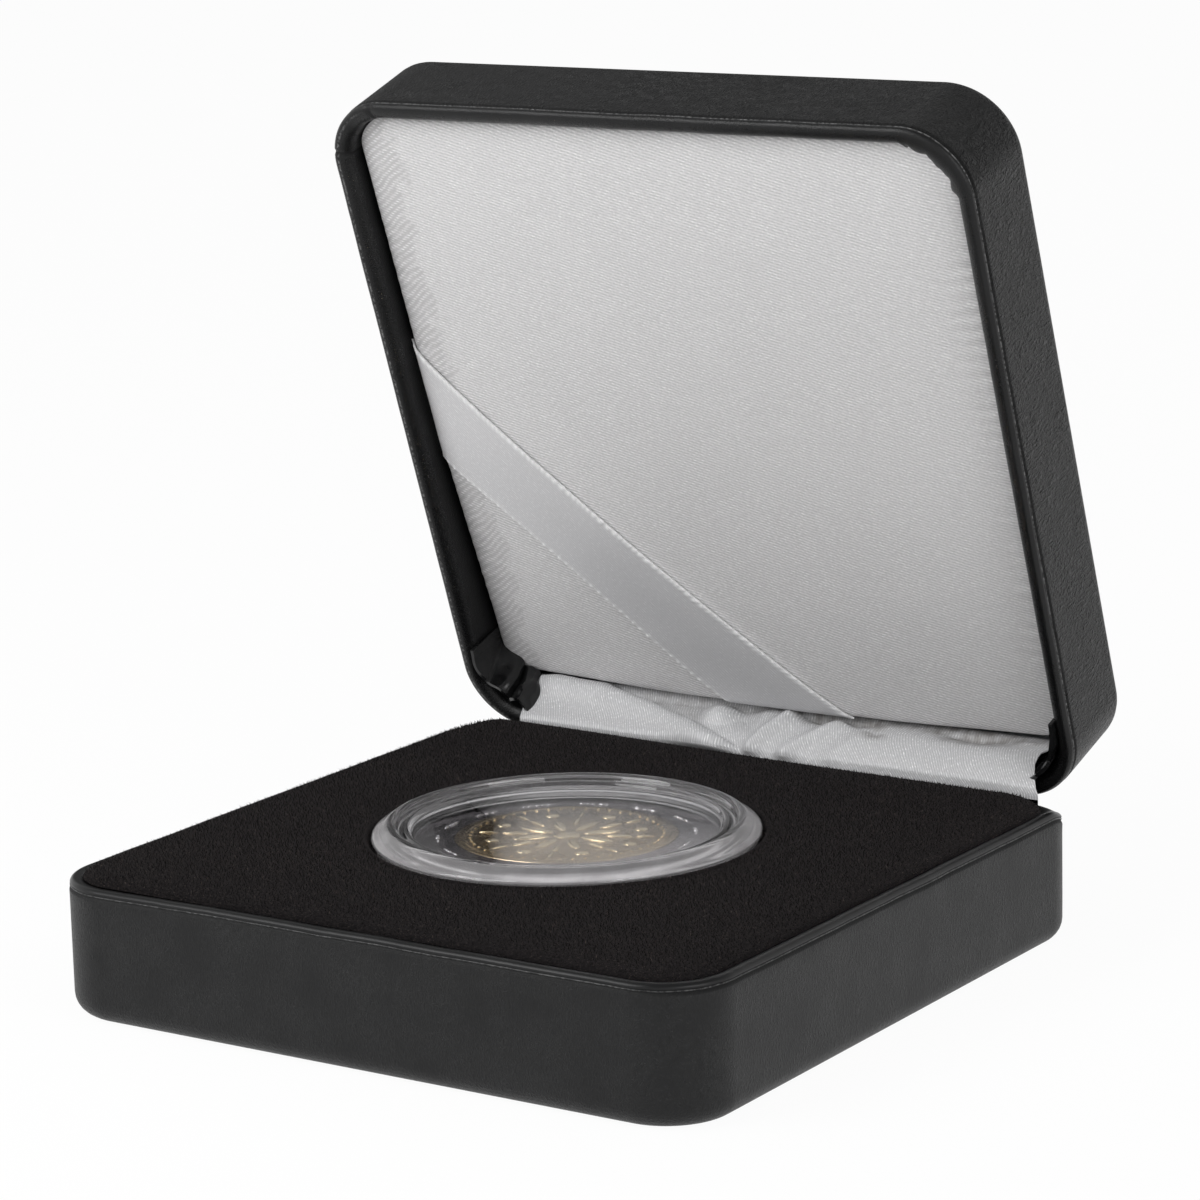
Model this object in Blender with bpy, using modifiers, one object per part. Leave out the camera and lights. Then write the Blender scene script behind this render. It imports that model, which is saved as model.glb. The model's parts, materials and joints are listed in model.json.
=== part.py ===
"""Square coin display case with a snap-hinged lid, shown open.

The case is a shallow steel tray and a matching lid, both wrapped in
leatherette that is turned in over the rim. The tray holds a velour pad with a
round well for a coin capsule. The lid holds a satin cushion with a diagonal
ribbon, and a satin strip hides the hinge.

Lengths are in metres. +Z is up, the case opens towards -Y, and the hinge runs
along X at the back. The origin is the centre of the underside.
"""

import math

import bmesh
import bpy
from mathutils import Matrix, Vector

# Case outline
CASE_WIDTH = 0.0620
CASE_DEPTH = 0.0620
BASE_HEIGHT = 0.0118
LID_HEIGHT = 0.0096
CORNER_RADIUS = 0.0060
BASE_EDGE_RADIUS = 0.0018
LID_EDGE_RADIUS = 0.0012
RIM_GAP = 0.0003
LID_OPEN_DEGREES = 71.0

# Wall build-up, from outside to inside: leatherette, steel, turned-in leatherette
LEATHER_THICKNESS = 0.0004
SHELL_THICKNESS = 0.0005
SKIN_GAP = 0.00015
BEAD_HEIGHT = 0.0013
BEAD_RADIUS = 0.00074
SEAM_DEPTH = 0.00012
SEAM_WIDTH = 0.00036
BASE_FLAP_DEPTH = 0.0043
LID_FLAP_DEPTH = 0.0060

# The rear rim of the base is drawn down so that the lid can swing past it
REAR_RELIEF = 0.0014
RELIEF_REACH = 0.0040

# Snap hinge
HINGE_LENGTH = 0.0400
HINGE_RISE = 0.0004
KNUCKLE_RADIUS = 0.0008
LEAF_THICKNESS = 0.00035
LEAF_HEIGHT = 0.0052
PIN_RADIUS = 0.00037
PIN_HEAD_RADIUS = 0.00062
PIN_HEAD_THICKNESS = 0.00035
CENTRE_KNUCKLE_LENGTH = 0.0050
LID_KNUCKLE_LENGTH = 0.0052
KNUCKLE_GAP = 0.0003
CURL_DEGREES = 285.0
SPRING_WIDTH = 0.0060
SPRING_THICKNESS = 0.00025
SPRING_REACH = 0.0036
SPRING_GAP = 0.00015
NOTCH_CLEARANCE = 0.0003

# Hinge rivets
RIVET_RADIUS = 0.0005
RIVET_HEAD_RADIUS = 0.0010
RIVET_HEAD_HEIGHT = 0.0004
RIVET_HEAD_GAP = 0.00008
RIVET_HOLE_GAP = 0.0001
RIVET_DROP = 0.0030
RIVET_END_DISTANCE = 0.0026

# Boards and foam blocks
BOARD_THICKNESS = 0.0010
BOARD_CORNER_RADIUS = 0.0030
LAYER_GAP = 0.0002
PAD_SIDE_GAP = 0.0002

# Base insert: velour over a foam block
VELOUR_THICKNESS = 0.0006
VELOUR_EDGE_DROP = 0.0009
VELOUR_CROWN = 0.0006
VELOUR_SKIRT = 0.0048
PAD_REAR_SPACE = 0.0018
PAD_REAR_RADIUS = 0.0036
WELL_CLEARANCE = 0.0003
WELL_LIP_DROP = 0.0004
WELL_ROLL = 0.0006
WELL_SKIRT = 0.0030
WELL_OFFSET = -0.0003

# Lid cushion: satin over a foam block
SATIN_THICKNESS = 0.00035
SATIN_RECESS_FRONT = 0.0021
SATIN_RECESS_REAR = 0.0034
SATIN_CROWN = 0.0004
SATIN_EDGE_ROLL = 0.0009
SATIN_SKIRT = 0.0020
SATIN_REAR_SPACE = 0.0029
SATIN_REAR_RADIUS = 0.0016

# Diagonal ribbon on the lid cushion, in the plane of the closed lid
RIBBON_WIDTH = 0.0079
RIBBON_THICKNESS = 0.0002
RIBBON_GAP = 0.00015
RIBBON_LEFT_Y = -0.0018
RIBBON_DEGREES = 42.8
RIBBON_END_MARGIN = 0.0010

# Satin strip over the hinge
STRIP_WIDTH = 0.0530
STRIP_THICKNESS = 0.00025
STRIP_PAD_GAP = 0.00042
STRIP_BASE_TUCK = 0.0028
STRIP_LID_TUCK = 0.0012
STRIP_LID_GAP = 0.0006
STRIP_FOLD = 0.00042

# Coin capsule, clear plastic in two halves
CAPSULE_RADIUS = 0.0160
CAPSULE_HEIGHT = 0.0059
CAPSULE_PROUD = 0.0016
CAPSULE_WINDOW = 0.0008
CAPSULE_WINDOW_RADIUS = 0.0127
CAPSULE_RECESS = 0.0008
CAPSULE_SHOULDER_WIDTH = 0.0012
CAPSULE_LIP_HEIGHT = 0.0004
CAPSULE_SKIRT_DEPTH = 0.0018
CAPSULE_WALL = 0.0007
CAPSULE_JOINT_GAP = 0.00015
CAPSULE_LIP_OVERHANG = 0.0003

# Coin of two metals
COIN_RADIUS = 0.012875
COIN_THICKNESS = 0.0022
COIN_CORE_RADIUS = 0.0093
COIN_CORE_THICKNESS = 0.0020
COIN_JOINT_GAP = 0.0001
COIN_RIM_WIDTH = 0.0007
COIN_RIM_HEIGHT = 0.00015
COIN_SEAT_GAP = 0.0001
COIN_SIDE_GAP = 0.00022

# Working values
CUT_OVERRUN = 0.0010
MERGE_DISTANCE = 0.00001
CORNER_STEPS = 7
EDGE_STEPS = 4
TURN_STEPS = 48
SMALL_TURN_STEPS = 16
CURL_STEPS = 14
STRIP_STEPS_ALONG = 40
RIBBON_STEPS_ALONG = 16
RIBBON_STEPS_ACROSS = 3

# Pillow shape as (share of the way inwards, share of the crown reached)
CROWN_SHARES = ((0.02, 0.16), (0.06, 0.40), (0.14, 0.68), (0.30, 0.90), (0.60, 1.0))
RAMP_MIDDLE_SHARE = 0.5
# Shoulder rings of the capsule as (share of the shoulder width, share of the recess)
CAPSULE_RING_SHARES = ((0.10, 0.55), (0.42, 0.55), (0.60, 0.18), (0.84, 0.94), (1.0, 1.0))
# Folds of the strip: (centre, width) as shares of its length and the height as a share
STRIP_FOLD_SHARES = ((0.08, 0.20, 0.7), (0.40, 0.05, 1.0), (0.50, 0.035, 0.8), (0.57, 0.04, 1.0), (0.80, 0.16, 0.8))

# Derived places
WALL = 2 * LEATHER_THICKNESS + SHELL_THICKNESS + 2 * SKIN_GAP
SHELL_INSET = LEATHER_THICKNESS + SKIN_GAP
LID_RIM_Z = BASE_HEIGHT + RIM_GAP
CASE_TOP_Z = LID_RIM_Z + LID_HEIGHT
LEAF_FACE_Y = CASE_DEPTH / 2 - WALL - SKIN_GAP
HINGE_Y = LEAF_FACE_Y - LEAF_THICKNESS + KNUCKLE_RADIUS
HINGE_Z = BASE_HEIGHT + HINGE_RISE
LEAF_PATH_RADIUS = KNUCKLE_RADIUS - LEAF_THICKNESS / 2
INNER_HALF_WIDTH = CASE_WIDTH / 2 - WALL
INNER_HALF_DEPTH = CASE_DEPTH / 2 - WALL
INNER_RADIUS = CORNER_RADIUS - WALL
PAD_FRONT_Y = -INNER_HALF_DEPTH + PAD_SIDE_GAP
PAD_REAR_Y = INNER_HALF_DEPTH - PAD_REAR_SPACE
PAD_HALF_WIDTH = INNER_HALF_WIDTH - PAD_SIDE_GAP
PAD_FRONT_RADIUS = INNER_RADIUS - PAD_SIDE_GAP
SATIN_REAR_Y = INNER_HALF_DEPTH - SATIN_REAR_SPACE
WELL_Y = (PAD_FRONT_Y + PAD_REAR_Y) / 2 + WELL_OFFSET
WELL_RADIUS = CAPSULE_RADIUS + WELL_CLEARANCE
CAPSULE_BOTTOM_Z = BASE_HEIGHT + CAPSULE_PROUD - CAPSULE_HEIGHT
SHELL_FLOOR = SHELL_INSET + SHELL_THICKNESS
BOARD_Z = SHELL_FLOOR + LAYER_GAP
FOAM_Z = BOARD_Z + BOARD_THICKNESS + LAYER_GAP


def smooth_ramp(value):
    """Ease a value from 0 to 1, flat at both ends."""
    clamped = min(max(value, 0.0), 1.0)
    return clamped * clamped * (3 - 2 * clamped)


def clear_scene():
    for item in list(bpy.data.objects):
        bpy.data.objects.remove(item, do_unlink=True)


def make_collection(name):
    collection = bpy.data.collections.new(name)
    bpy.context.scene.collection.children.link(collection)
    return collection


def make_material(name, colour, roughness, metallic, alpha=1.0):
    material = bpy.data.materials.new(name)
    material.use_nodes = True
    shader = material.node_tree.nodes["Principled BSDF"]
    shader.inputs["Base Color"].default_value = (*colour, 1.0)
    shader.inputs["Roughness"].default_value = roughness
    shader.inputs["Metallic"].default_value = metallic
    shader.inputs["Alpha"].default_value = alpha
    material.diffuse_color = (*colour, alpha)
    return material


def add_object(name, mesh, parent, collection, material=None):
    item = bpy.data.objects.new(name, mesh)
    collection.objects.link(item)
    item.parent = parent
    if material is not None:
        mesh.materials.append(material)
    return item


def add_empty(name, parent, collection, location, rotation):
    empty = bpy.data.objects.new(name, None)
    collection.objects.link(empty)
    empty.parent = parent
    empty.location = location
    empty.rotation_euler = rotation
    return empty


def mesh_from(bm, name):
    mesh = bpy.data.meshes.new(name)
    bm.to_mesh(mesh)
    bm.free()
    return mesh


def shade(item, degrees=35.0):
    item.data.shade_smooth()
    item.data.set_sharp_from_angle(angle=math.radians(degrees))


def solidify(item, thickness, offset):
    modifier = item.modifiers.new("thickness", "SOLIDIFY")
    modifier.thickness = thickness
    modifier.offset = offset
    modifier.use_even_offset = True
    modifier.use_rim = True


def cut(item, cutter):
    modifier = item.modifiers.new("cut_" + cutter.name, "BOOLEAN")
    modifier.operation = "DIFFERENCE"
    modifier.object = cutter


def outline(half_width, front_y, rear_y, front_radius, rear_radius):
    """Points of a rectangle with rounded corners, counter-clockwise from above."""
    corners = (
        (half_width - rear_radius, rear_y - rear_radius, rear_radius, 0),
        (-half_width + rear_radius, rear_y - rear_radius, rear_radius, 1),
        (-half_width + front_radius, front_y + front_radius, front_radius, 2),
        (half_width - front_radius, front_y + front_radius, front_radius, 3),
    )
    points = []
    for centre_x, centre_y, radius, quarter in corners:
        for step in range(CORNER_STEPS + 1):
            angle = math.radians(90 * (quarter + step / CORNER_STEPS))
            points.append((centre_x + radius * math.cos(angle), centre_y + radius * math.sin(angle)))
    return points


def case_outline(inset):
    """The case's own outline, drawn in by an inset."""
    return outline(
        CASE_WIDTH / 2 - inset,
        -CASE_DEPTH / 2 + inset,
        CASE_DEPTH / 2 - inset,
        CORNER_RADIUS - inset,
        CORNER_RADIUS - inset,
    )


def blend(first, second, share):
    return [(a[0] + (b[0] - a[0]) * share, a[1] + (b[1] - a[1]) * share) for a, b in zip(first, second)]


def loft(bm, sections, cap_start, cap_end):
    """Skin a stack of outlines, each given as (points, level)."""
    rings = [[bm.verts.new((x, y, level)) for x, y in points] for points, level in sections]
    for lower, upper in zip(rings, rings[1:]):
        for index in range(len(lower)):
            following = (index + 1) % len(lower)
            bm.faces.new((lower[index], lower[following], upper[following], upper[index]))
    if cap_start:
        bm.faces.new(list(reversed(rings[0])))
    if cap_end:
        bm.faces.new(rings[-1])
    return rings


def edge_arc(radius, inset, floor):
    """A tray's rounded bottom edge as (inset, level) pairs, from floor to wall."""
    pairs = []
    for step in range(EDGE_STEPS + 1):
        angle = math.radians(90 * step / EDGE_STEPS)
        pairs.append((inset + radius * (1 - math.sin(angle)), floor + radius * (1 - math.cos(angle))))
    return pairs


def bead_arc(centre_inset, centre_level, radius, start_degrees, turn_degrees):
    pairs = []
    for step in range(EDGE_STEPS + 1):
        angle = math.radians(start_degrees + turn_degrees * step / EDGE_STEPS)
        pairs.append((centre_inset - radius * math.cos(angle), centre_level + radius * math.sin(angle)))
    return pairs


def lower_rear_rim(bm, rim_level):
    """Draw the rear rim of the base down, easing in round the corners."""
    start_y = CASE_DEPTH / 2 - CORNER_RADIUS
    for vertex in bm.verts:
        reach = (vertex.co.z - rim_level + RELIEF_REACH) / (RELIEF_REACH - BEAD_HEIGHT - SEAM_WIDTH)
        along = (vertex.co.y - start_y) / (HINGE_Y - start_y)
        vertex.co.z -= REAR_RELIEF * smooth_ramp(reach) * smooth_ramp(along)


def cover_mesh(name, height, edge_radius, flap_depth, relieved):
    """Leatherette skin: bottom panel, walls, rim bead and the turned-in flap."""
    seam = height - BEAD_HEIGHT
    outer = edge_arc(edge_radius, 0.0, 0.0)
    outer += [(0.0, seam - SEAM_WIDTH / 2), (SEAM_DEPTH, seam), (0.0, seam + SEAM_WIDTH / 2)]
    outer += bead_arc(BEAD_RADIUS, height - BEAD_RADIUS, BEAD_RADIUS, 0, 90)
    outer += bead_arc(WALL - BEAD_RADIUS, height - BEAD_RADIUS, BEAD_RADIUS, 90, 90)
    outer += [(WALL, height - flap_depth)]
    skin = LEATHER_THICKNESS
    inner = [(WALL - skin, height - flap_depth)]
    inner += list(reversed(bead_arc(WALL - BEAD_RADIUS, height - BEAD_RADIUS, BEAD_RADIUS - skin, 90, 90)))
    inner += list(reversed(bead_arc(BEAD_RADIUS, height - BEAD_RADIUS, BEAD_RADIUS - skin, 0, 90)))
    inner += list(reversed(edge_arc(edge_radius - skin, skin, skin)))
    bm = bmesh.new()
    sections = [(case_outline(inset), level) for inset, level in outer + inner]
    loft(bm, sections, cap_start=True, cap_end=True)
    if relieved:
        lower_rear_rim(bm, height)
    bmesh.ops.remove_doubles(bm, verts=bm.verts[:], dist=MERGE_DISTANCE)
    return mesh_from(bm, name)


def shell_mesh(name, height, edge_radius, relieved):
    """Open steel tray under the leatherette; Solidify gives it its sheet thickness."""
    pairs = edge_arc(edge_radius - SHELL_INSET, SHELL_INSET, SHELL_INSET)
    pairs += [(SHELL_INSET, height - RELIEF_REACH), (SHELL_INSET, height - SHELL_INSET - SKIN_GAP)]
    bm = bmesh.new()
    loft(bm, [(case_outline(inset), level) for inset, level in pairs], cap_start=True, cap_end=False)
    if relieved:
        lower_rear_rim(bm, height)
    return mesh_from(bm, name)


def board_mesh(name, half_width, front_y, rear_y):
    """Card board under a pad, with a light chamfer all round."""
    bm = bmesh.new()
    points = outline(half_width, front_y, rear_y, BOARD_CORNER_RADIUS, BOARD_CORNER_RADIUS)
    loft(bm, [(points, 0.0), (points, BOARD_THICKNESS)], cap_start=True, cap_end=True)
    return mesh_from(bm, name)


def pad_outline(offset, rear_y, rear_radius):
    """Outline of a pad inside the case, drawn in by an offset."""
    return outline(
        PAD_HALF_WIDTH - offset,
        PAD_FRONT_Y + offset,
        rear_y - offset,
        max(PAD_FRONT_RADIUS - offset, MERGE_DISTANCE),
        max(rear_radius - offset, MERGE_DISTANCE),
    )


def velour_edge_level():
    return BASE_HEIGHT - VELOUR_EDGE_DROP + VELOUR_CROWN


def velour_sections(skin):
    """Sections of the velour pad's top, from the skirt over the crown into the well."""
    edge = velour_edge_level() - skin
    roll = VELOUR_EDGE_DROP
    outer = pad_outline(skin, PAD_REAR_Y, PAD_REAR_RADIUS)
    radius = WELL_RADIUS + skin
    well = outline(radius, WELL_Y - radius, WELL_Y + radius, radius, radius)
    well_top = outline(
        radius + WELL_ROLL,
        WELL_Y - radius - WELL_ROLL,
        WELL_Y + radius + WELL_ROLL,
        radius + WELL_ROLL,
        radius + WELL_ROLL,
    )
    sections = [(outer, BASE_HEIGHT - VELOUR_SKIRT), (outer, edge - roll)]
    for inward, risen in CROWN_SHARES:
        sections.append((blend(outer, well_top, inward), edge - roll + (roll + VELOUR_CROWN) * risen))
    sections.append((well_top, edge + VELOUR_CROWN))
    sections.append((blend(well_top, well, RAMP_MIDDLE_SHARE), edge + VELOUR_CROWN - WELL_LIP_DROP * RAMP_MIDDLE_SHARE / 2))
    sections.append((well, edge + VELOUR_CROWN - WELL_LIP_DROP))
    sections.append((well, edge + VELOUR_CROWN - WELL_SKIRT))
    return sections


def velour_mesh(name):
    bm = bmesh.new()
    loft(bm, velour_sections(0.0), cap_start=False, cap_end=False)
    return mesh_from(bm, name)


def base_foam_mesh(name):
    """Foam block inside the velour, with a blind round well for the capsule."""
    clearance = VELOUR_THICKNESS + LAYER_GAP
    sections = velour_sections(clearance)
    floor = CAPSULE_BOTTOM_Z - WELL_CLEARANCE
    well = sections[-1][0]
    sections = [(sections[0][0], FOAM_Z)] + sections[1:-1] + [(well, floor)]
    bm = bmesh.new()
    loft(bm, sections, cap_start=True, cap_end=True)
    return mesh_from(bm, name)


def satin_level(y_in_lid):
    """Level of the cushion's face over its edge line, in the lid's own frame."""
    front_y = -PAD_FRONT_Y
    rear_y = -SATIN_REAR_Y
    share = (front_y - y_in_lid) / (front_y - rear_y)
    recess = SATIN_RECESS_FRONT + (SATIN_RECESS_REAR - SATIN_RECESS_FRONT) * share
    return LID_HEIGHT - recess


def satin_outline(offset):
    """The cushion's outline in the lid's own frame, where the hinge is at -Y."""
    return outline(
        PAD_HALF_WIDTH - offset,
        -SATIN_REAR_Y + offset,
        -PAD_FRONT_Y - offset,
        max(SATIN_REAR_RADIUS - offset, MERGE_DISTANCE),
        max(PAD_FRONT_RADIUS - offset, MERGE_DISTANCE),
    )


def satin_crown(x, y):
    """Height of the domed face over the edge line, at a place in the lid's frame."""
    inward = 1.0
    middle_y = (-PAD_FRONT_Y - SATIN_REAR_Y) / 2
    half_depth = (-PAD_FRONT_Y + SATIN_REAR_Y) / 2
    inward = 1 - max(abs(x) / PAD_HALF_WIDTH, abs(y - middle_y) / half_depth)
    reached = ((0.0, 0.0),) + CROWN_SHARES + ((1.0, 1.0),)
    for lower, upper in zip(reached, reached[1:]):
        if inward <= upper[0]:
            part = (inward - lower[0]) / (upper[0] - lower[0])
            return (SATIN_EDGE_ROLL + SATIN_CROWN) * (lower[1] + (upper[1] - lower[1]) * max(part, 0.0))
    return SATIN_EDGE_ROLL + SATIN_CROWN


def satin_sections(offset):
    """Sections from the back of the skirt over the domed face to its middle."""
    edge = satin_outline(offset)
    middle_y = (-PAD_FRONT_Y - SATIN_REAR_Y) / 2
    middle = [(0.0, middle_y)] * len(edge)
    sections = [(edge, None), (edge, 0.0)]
    for inward, risen in CROWN_SHARES:
        sections.append((blend(edge, middle, inward), risen))
    return sections


def satin_mesh(name, offset, back_level):
    """Domed cushion face with its sides; the offset draws every side in."""
    bm = bmesh.new()
    sections = satin_sections(offset)
    rings = loft(bm, [(points, 0.0) for points, risen in sections], cap_start=False, cap_end=False)
    closed_back = back_level is not None
    for ring, (points, risen) in zip(rings, sections):
        for vertex in ring:
            face = satin_level(vertex.co.y) - SATIN_CROWN - SATIN_EDGE_ROLL - offset
            if risen is None:
                vertex.co.z = back_level if closed_back else face - SATIN_SKIRT
            else:
                vertex.co.z = face + (SATIN_EDGE_ROLL + SATIN_CROWN) * risen
    middle_y = (-PAD_FRONT_Y - SATIN_REAR_Y) / 2
    peak = bm.verts.new((0.0, middle_y, satin_level(middle_y) - offset))
    last = rings[-1]
    for index in range(len(last)):
        bm.faces.new((last[index], last[(index + 1) % len(last)], peak))
    if closed_back:
        bm.faces.new(list(reversed(rings[0])))
    return mesh_from(bm, name)


def ribbon_mesh(name):
    """Flat band laid diagonally over the cushion, following its dome."""
    bm = bmesh.new()
    bmesh.ops.create_grid(bm, x_segments=RIBBON_STEPS_ALONG, y_segments=RIBBON_STEPS_ACROSS, size=1.0)
    angle = math.radians(RIBBON_DEGREES)
    left_x = -PAD_HALF_WIDTH + RIBBON_END_MARGIN
    low_y = -SATIN_REAR_Y + RIBBON_END_MARGIN
    for vertex in bm.verts:
        along_share = (vertex.co.x + 1) / 2
        across = RIBBON_WIDTH / 2 * vertex.co.y
        start_y = -RIBBON_LEFT_Y + across / math.cos(angle)
        run = (start_y - low_y) / math.tan(angle)
        x = left_x + run * along_share
        y = start_y - run * math.tan(angle) * along_share
        vertex.co = (x, y, 0.0)
    for vertex in bm.verts:
        lift = satin_level(vertex.co.y) - SATIN_CROWN - SATIN_EDGE_ROLL + satin_crown(vertex.co.x, vertex.co.y)
        vertex.co.z = lift + RIBBON_GAP + RIBBON_THICKNESS / 2
    return mesh_from(bm, name)


def closed_to_open(y, z):
    """Carry a point of the closed lid to its place in the open lid."""
    angle = math.radians(LID_OPEN_DEGREES)
    from_y = y - HINGE_Y
    from_z = z - HINGE_Z
    return (
        HINGE_Y + from_y * math.cos(angle) + from_z * math.sin(angle),
        HINGE_Z - from_y * math.sin(angle) + from_z * math.cos(angle),
    )


def strip_path():
    """Side view of the hinge strip, from behind the velour up behind the cushion."""
    base_y = PAD_REAR_Y + STRIP_PAD_GAP
    lid_y = SATIN_REAR_Y + STRIP_LID_GAP
    cushion_edge = LID_RIM_Z + SATIN_RECESS_REAR + SATIN_EDGE_ROLL
    foot = (base_y, BASE_HEIGHT - STRIP_BASE_TUCK)
    rim = (base_y, BASE_HEIGHT)
    lip = closed_to_open(lid_y, cushion_edge)
    head = closed_to_open(lid_y, cushion_edge + STRIP_LID_TUCK)
    rise = lip[1] - rim[1]
    run = lip[0] - rim[0]
    swell = ((0.06, 0.28), (0.24, 0.55), (0.58, 0.82))
    path = [foot, rim]
    path += [(rim[0] + run * along_share, rim[1] + rise * up_share) for along_share, up_share in swell]
    path += [lip, head]
    return path


def strip_fold_height(share):
    """How far the strip swells out at a share of its length."""
    height = 0.0
    for centre, width, tall in STRIP_FOLD_SHARES:
        height += tall * math.exp(-(((share - centre) / width) ** 2))
    return STRIP_FOLD * height


def strip_mesh(name):
    """Satin strip over the hinge, with its gathers as swellings."""
    path = strip_path()
    last = len(path) - 1
    bm = bmesh.new()
    bmesh.ops.create_grid(bm, x_segments=STRIP_STEPS_ALONG, y_segments=last, size=1.0)
    for vertex in bm.verts:
        share = (vertex.co.x + 1) / 2
        station = round((vertex.co.y + 1) / 2 * last)
        before = Vector(path[max(station - 1, 0)])
        after = Vector(path[min(station + 1, last)])
        heading = (after - before).normalized()
        outward = Vector((-heading.y, heading.x))
        free = math.sin(math.pi * max(station - 1, 0) / (last - 1)) if station < last else 0.0
        place = Vector(path[station]) + outward * strip_fold_height(share) * max(free, 0.0)
        vertex.co = (STRIP_WIDTH * (share - 1 / 2), place.x, place.y)
    return mesh_from(bm, name)


def hinge_stations():
    """Places along the hinge where the leaves change shape, for the +X half."""
    centre_end = CENTRE_KNUCKLE_LENGTH / 2
    window_start = centre_end + KNUCKLE_GAP
    window_end = window_start + SPRING_WIDTH + 2 * SPRING_GAP
    lid_start = window_end + KNUCKLE_GAP
    lid_end = lid_start + LID_KNUCKLE_LENGTH
    outer_start = lid_end + KNUCKLE_GAP
    return centre_end, window_start, window_end, lid_start, lid_end, outer_start, HINGE_LENGTH / 2


def leaf_mesh(name, own_zones, rear):
    """Rolled sheet-steel hinge leaf as a cut and curled sheet; Solidify thickens it.

    The sheet runs up the plate and round the pin. rear is the Y side the hinge
    lies on: +1 in the base's frame, -1 in the lid's own frame.
    """
    half = hinge_stations()
    stations = sorted([-x for x in half] + list(half))
    window_top = -SPRING_REACH - SPRING_GAP
    plate_top = -KNUCKLE_RADIUS - NOTCH_CLEARANCE
    path = [(-LEAF_PATH_RADIUS, -LEAF_HEIGHT), (-LEAF_PATH_RADIUS, window_top), (-LEAF_PATH_RADIUS, plate_top)]
    for step in range(CURL_STEPS + 1):
        angle = math.radians(180 - CURL_DEGREES * step / CURL_STEPS)
        path.append((LEAF_PATH_RADIUS * math.cos(angle), LEAF_PATH_RADIUS * math.sin(angle)))
    bm = bmesh.new()
    bmesh.ops.create_grid(bm, x_segments=len(stations) - 1, y_segments=len(path) - 1, size=1.0)
    unwanted = []
    for face in bm.faces:
        middle = face.calc_center_median()
        column = int((middle.x + 1) / 2 * (len(stations) - 1))
        row = int((middle.y + 1) / 2 * (len(path) - 1))
        place = abs(stations[column] + stations[column + 1]) / 2
        zone = sum(1 for station in half if station < place)
        spring_zone = zone == 2
        if row >= 2 and zone not in own_zones:
            unwanted.append(face)
        elif row == 1 and spring_zone:
            unwanted.append(face)
    for vertex in bm.verts:
        column = round((vertex.co.x + 1) / 2 * (len(stations) - 1))
        row = round((vertex.co.y + 1) / 2 * (len(path) - 1))
        vertex.co = (stations[column], rear * path[row][0], path[row][1])
    bmesh.ops.delete(bm, geom=unwanted, context="FACES")
    return mesh_from(bm, name)


def spring_mesh(name):
    """Flat snap spring bent over the pin, from the base leaf's window to the lid's."""
    angle = math.radians(LID_OPEN_DEGREES)
    along_lid = Vector((math.sin(angle), math.cos(angle)))
    path = [Vector((-LEAF_PATH_RADIUS, -SPRING_REACH))]
    for step in range(EDGE_STEPS + 1):
        turned = math.pi - angle * step / EDGE_STEPS
        path.append(Vector((math.cos(turned), math.sin(turned))) * LEAF_PATH_RADIUS)
    path.append(path[-1] + along_lid * SPRING_REACH)
    bm = bmesh.new()
    bmesh.ops.create_grid(bm, x_segments=1, y_segments=len(path) - 1, size=1.0)
    for vertex in bm.verts:
        row = round((vertex.co.y + 1) / 2 * (len(path) - 1))
        vertex.co = (vertex.co.x * SPRING_WIDTH / 2, path[row].x, path[row].y)
    return mesh_from(bm, name)


def turned(name, profile, steps, parent, collection, material):
    """Turn a profile of (radius, level) pairs about Z."""
    bm = bmesh.new()
    points = [bm.verts.new((radius, 0.0, level)) for radius, level in profile]
    for first, second in zip(points, points[1:]):
        bm.edges.new((first, second))
    item = add_object(name, mesh_from(bm, name), parent, collection, material)
    modifier = item.modifiers.new("turn", "SCREW")
    modifier.axis = "Z"
    modifier.angle = 2 * math.pi
    modifier.steps = steps
    modifier.render_steps = steps
    modifier.use_merge_vertices = True
    modifier.merge_threshold = MERGE_DISTANCE
    return item


def rivet_profile():
    """A domed head over a plain shank that ends flush in the steel shell."""
    head_seat = LEAF_FACE_Y - LEAF_THICKNESS - RIVET_HEAD_GAP
    shank = CASE_DEPTH / 2 - SHELL_INSET - head_seat
    profile = [(0.0, RIVET_HEAD_HEIGHT)]
    for step in range(1, EDGE_STEPS + 1):
        angle = math.radians(90 * step / EDGE_STEPS)
        profile.append((RIVET_HEAD_RADIUS * math.sin(angle), RIVET_HEAD_HEIGHT * math.cos(angle)))
    profile += [(RIVET_RADIUS, 0.0), (RIVET_RADIUS, -shank), (0.0, -shank)]
    return profile


def pin_profile():
    """Hinge pin with a peened head at each end, outside the outer knuckles."""
    reach = HINGE_LENGTH / 2 + SPRING_GAP
    tip = reach + PIN_HEAD_THICKNESS
    return [
        (0.0, tip),
        (PIN_RADIUS, tip),
        (PIN_HEAD_RADIUS, tip - PIN_HEAD_THICKNESS / 2),
        (PIN_HEAD_RADIUS, reach),
        (PIN_RADIUS, reach),
        (PIN_RADIUS, -reach),
        (PIN_HEAD_RADIUS, -reach),
        (PIN_HEAD_RADIUS, -tip + PIN_HEAD_THICKNESS / 2),
        (PIN_RADIUS, -tip),
        (0.0, -tip),
    ]


def capsule_levels():
    """Levels inside the capsule, over its underside."""
    window_top = CAPSULE_HEIGHT - CAPSULE_RECESS
    window_under = window_top - CAPSULE_WINDOW
    floor_under = CAPSULE_RECESS
    floor_top = floor_under + CAPSULE_WINDOW
    return window_top, window_under, floor_under, floor_top


def capsule_cavity_radius():
    return COIN_RADIUS + COIN_SIDE_GAP


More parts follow.
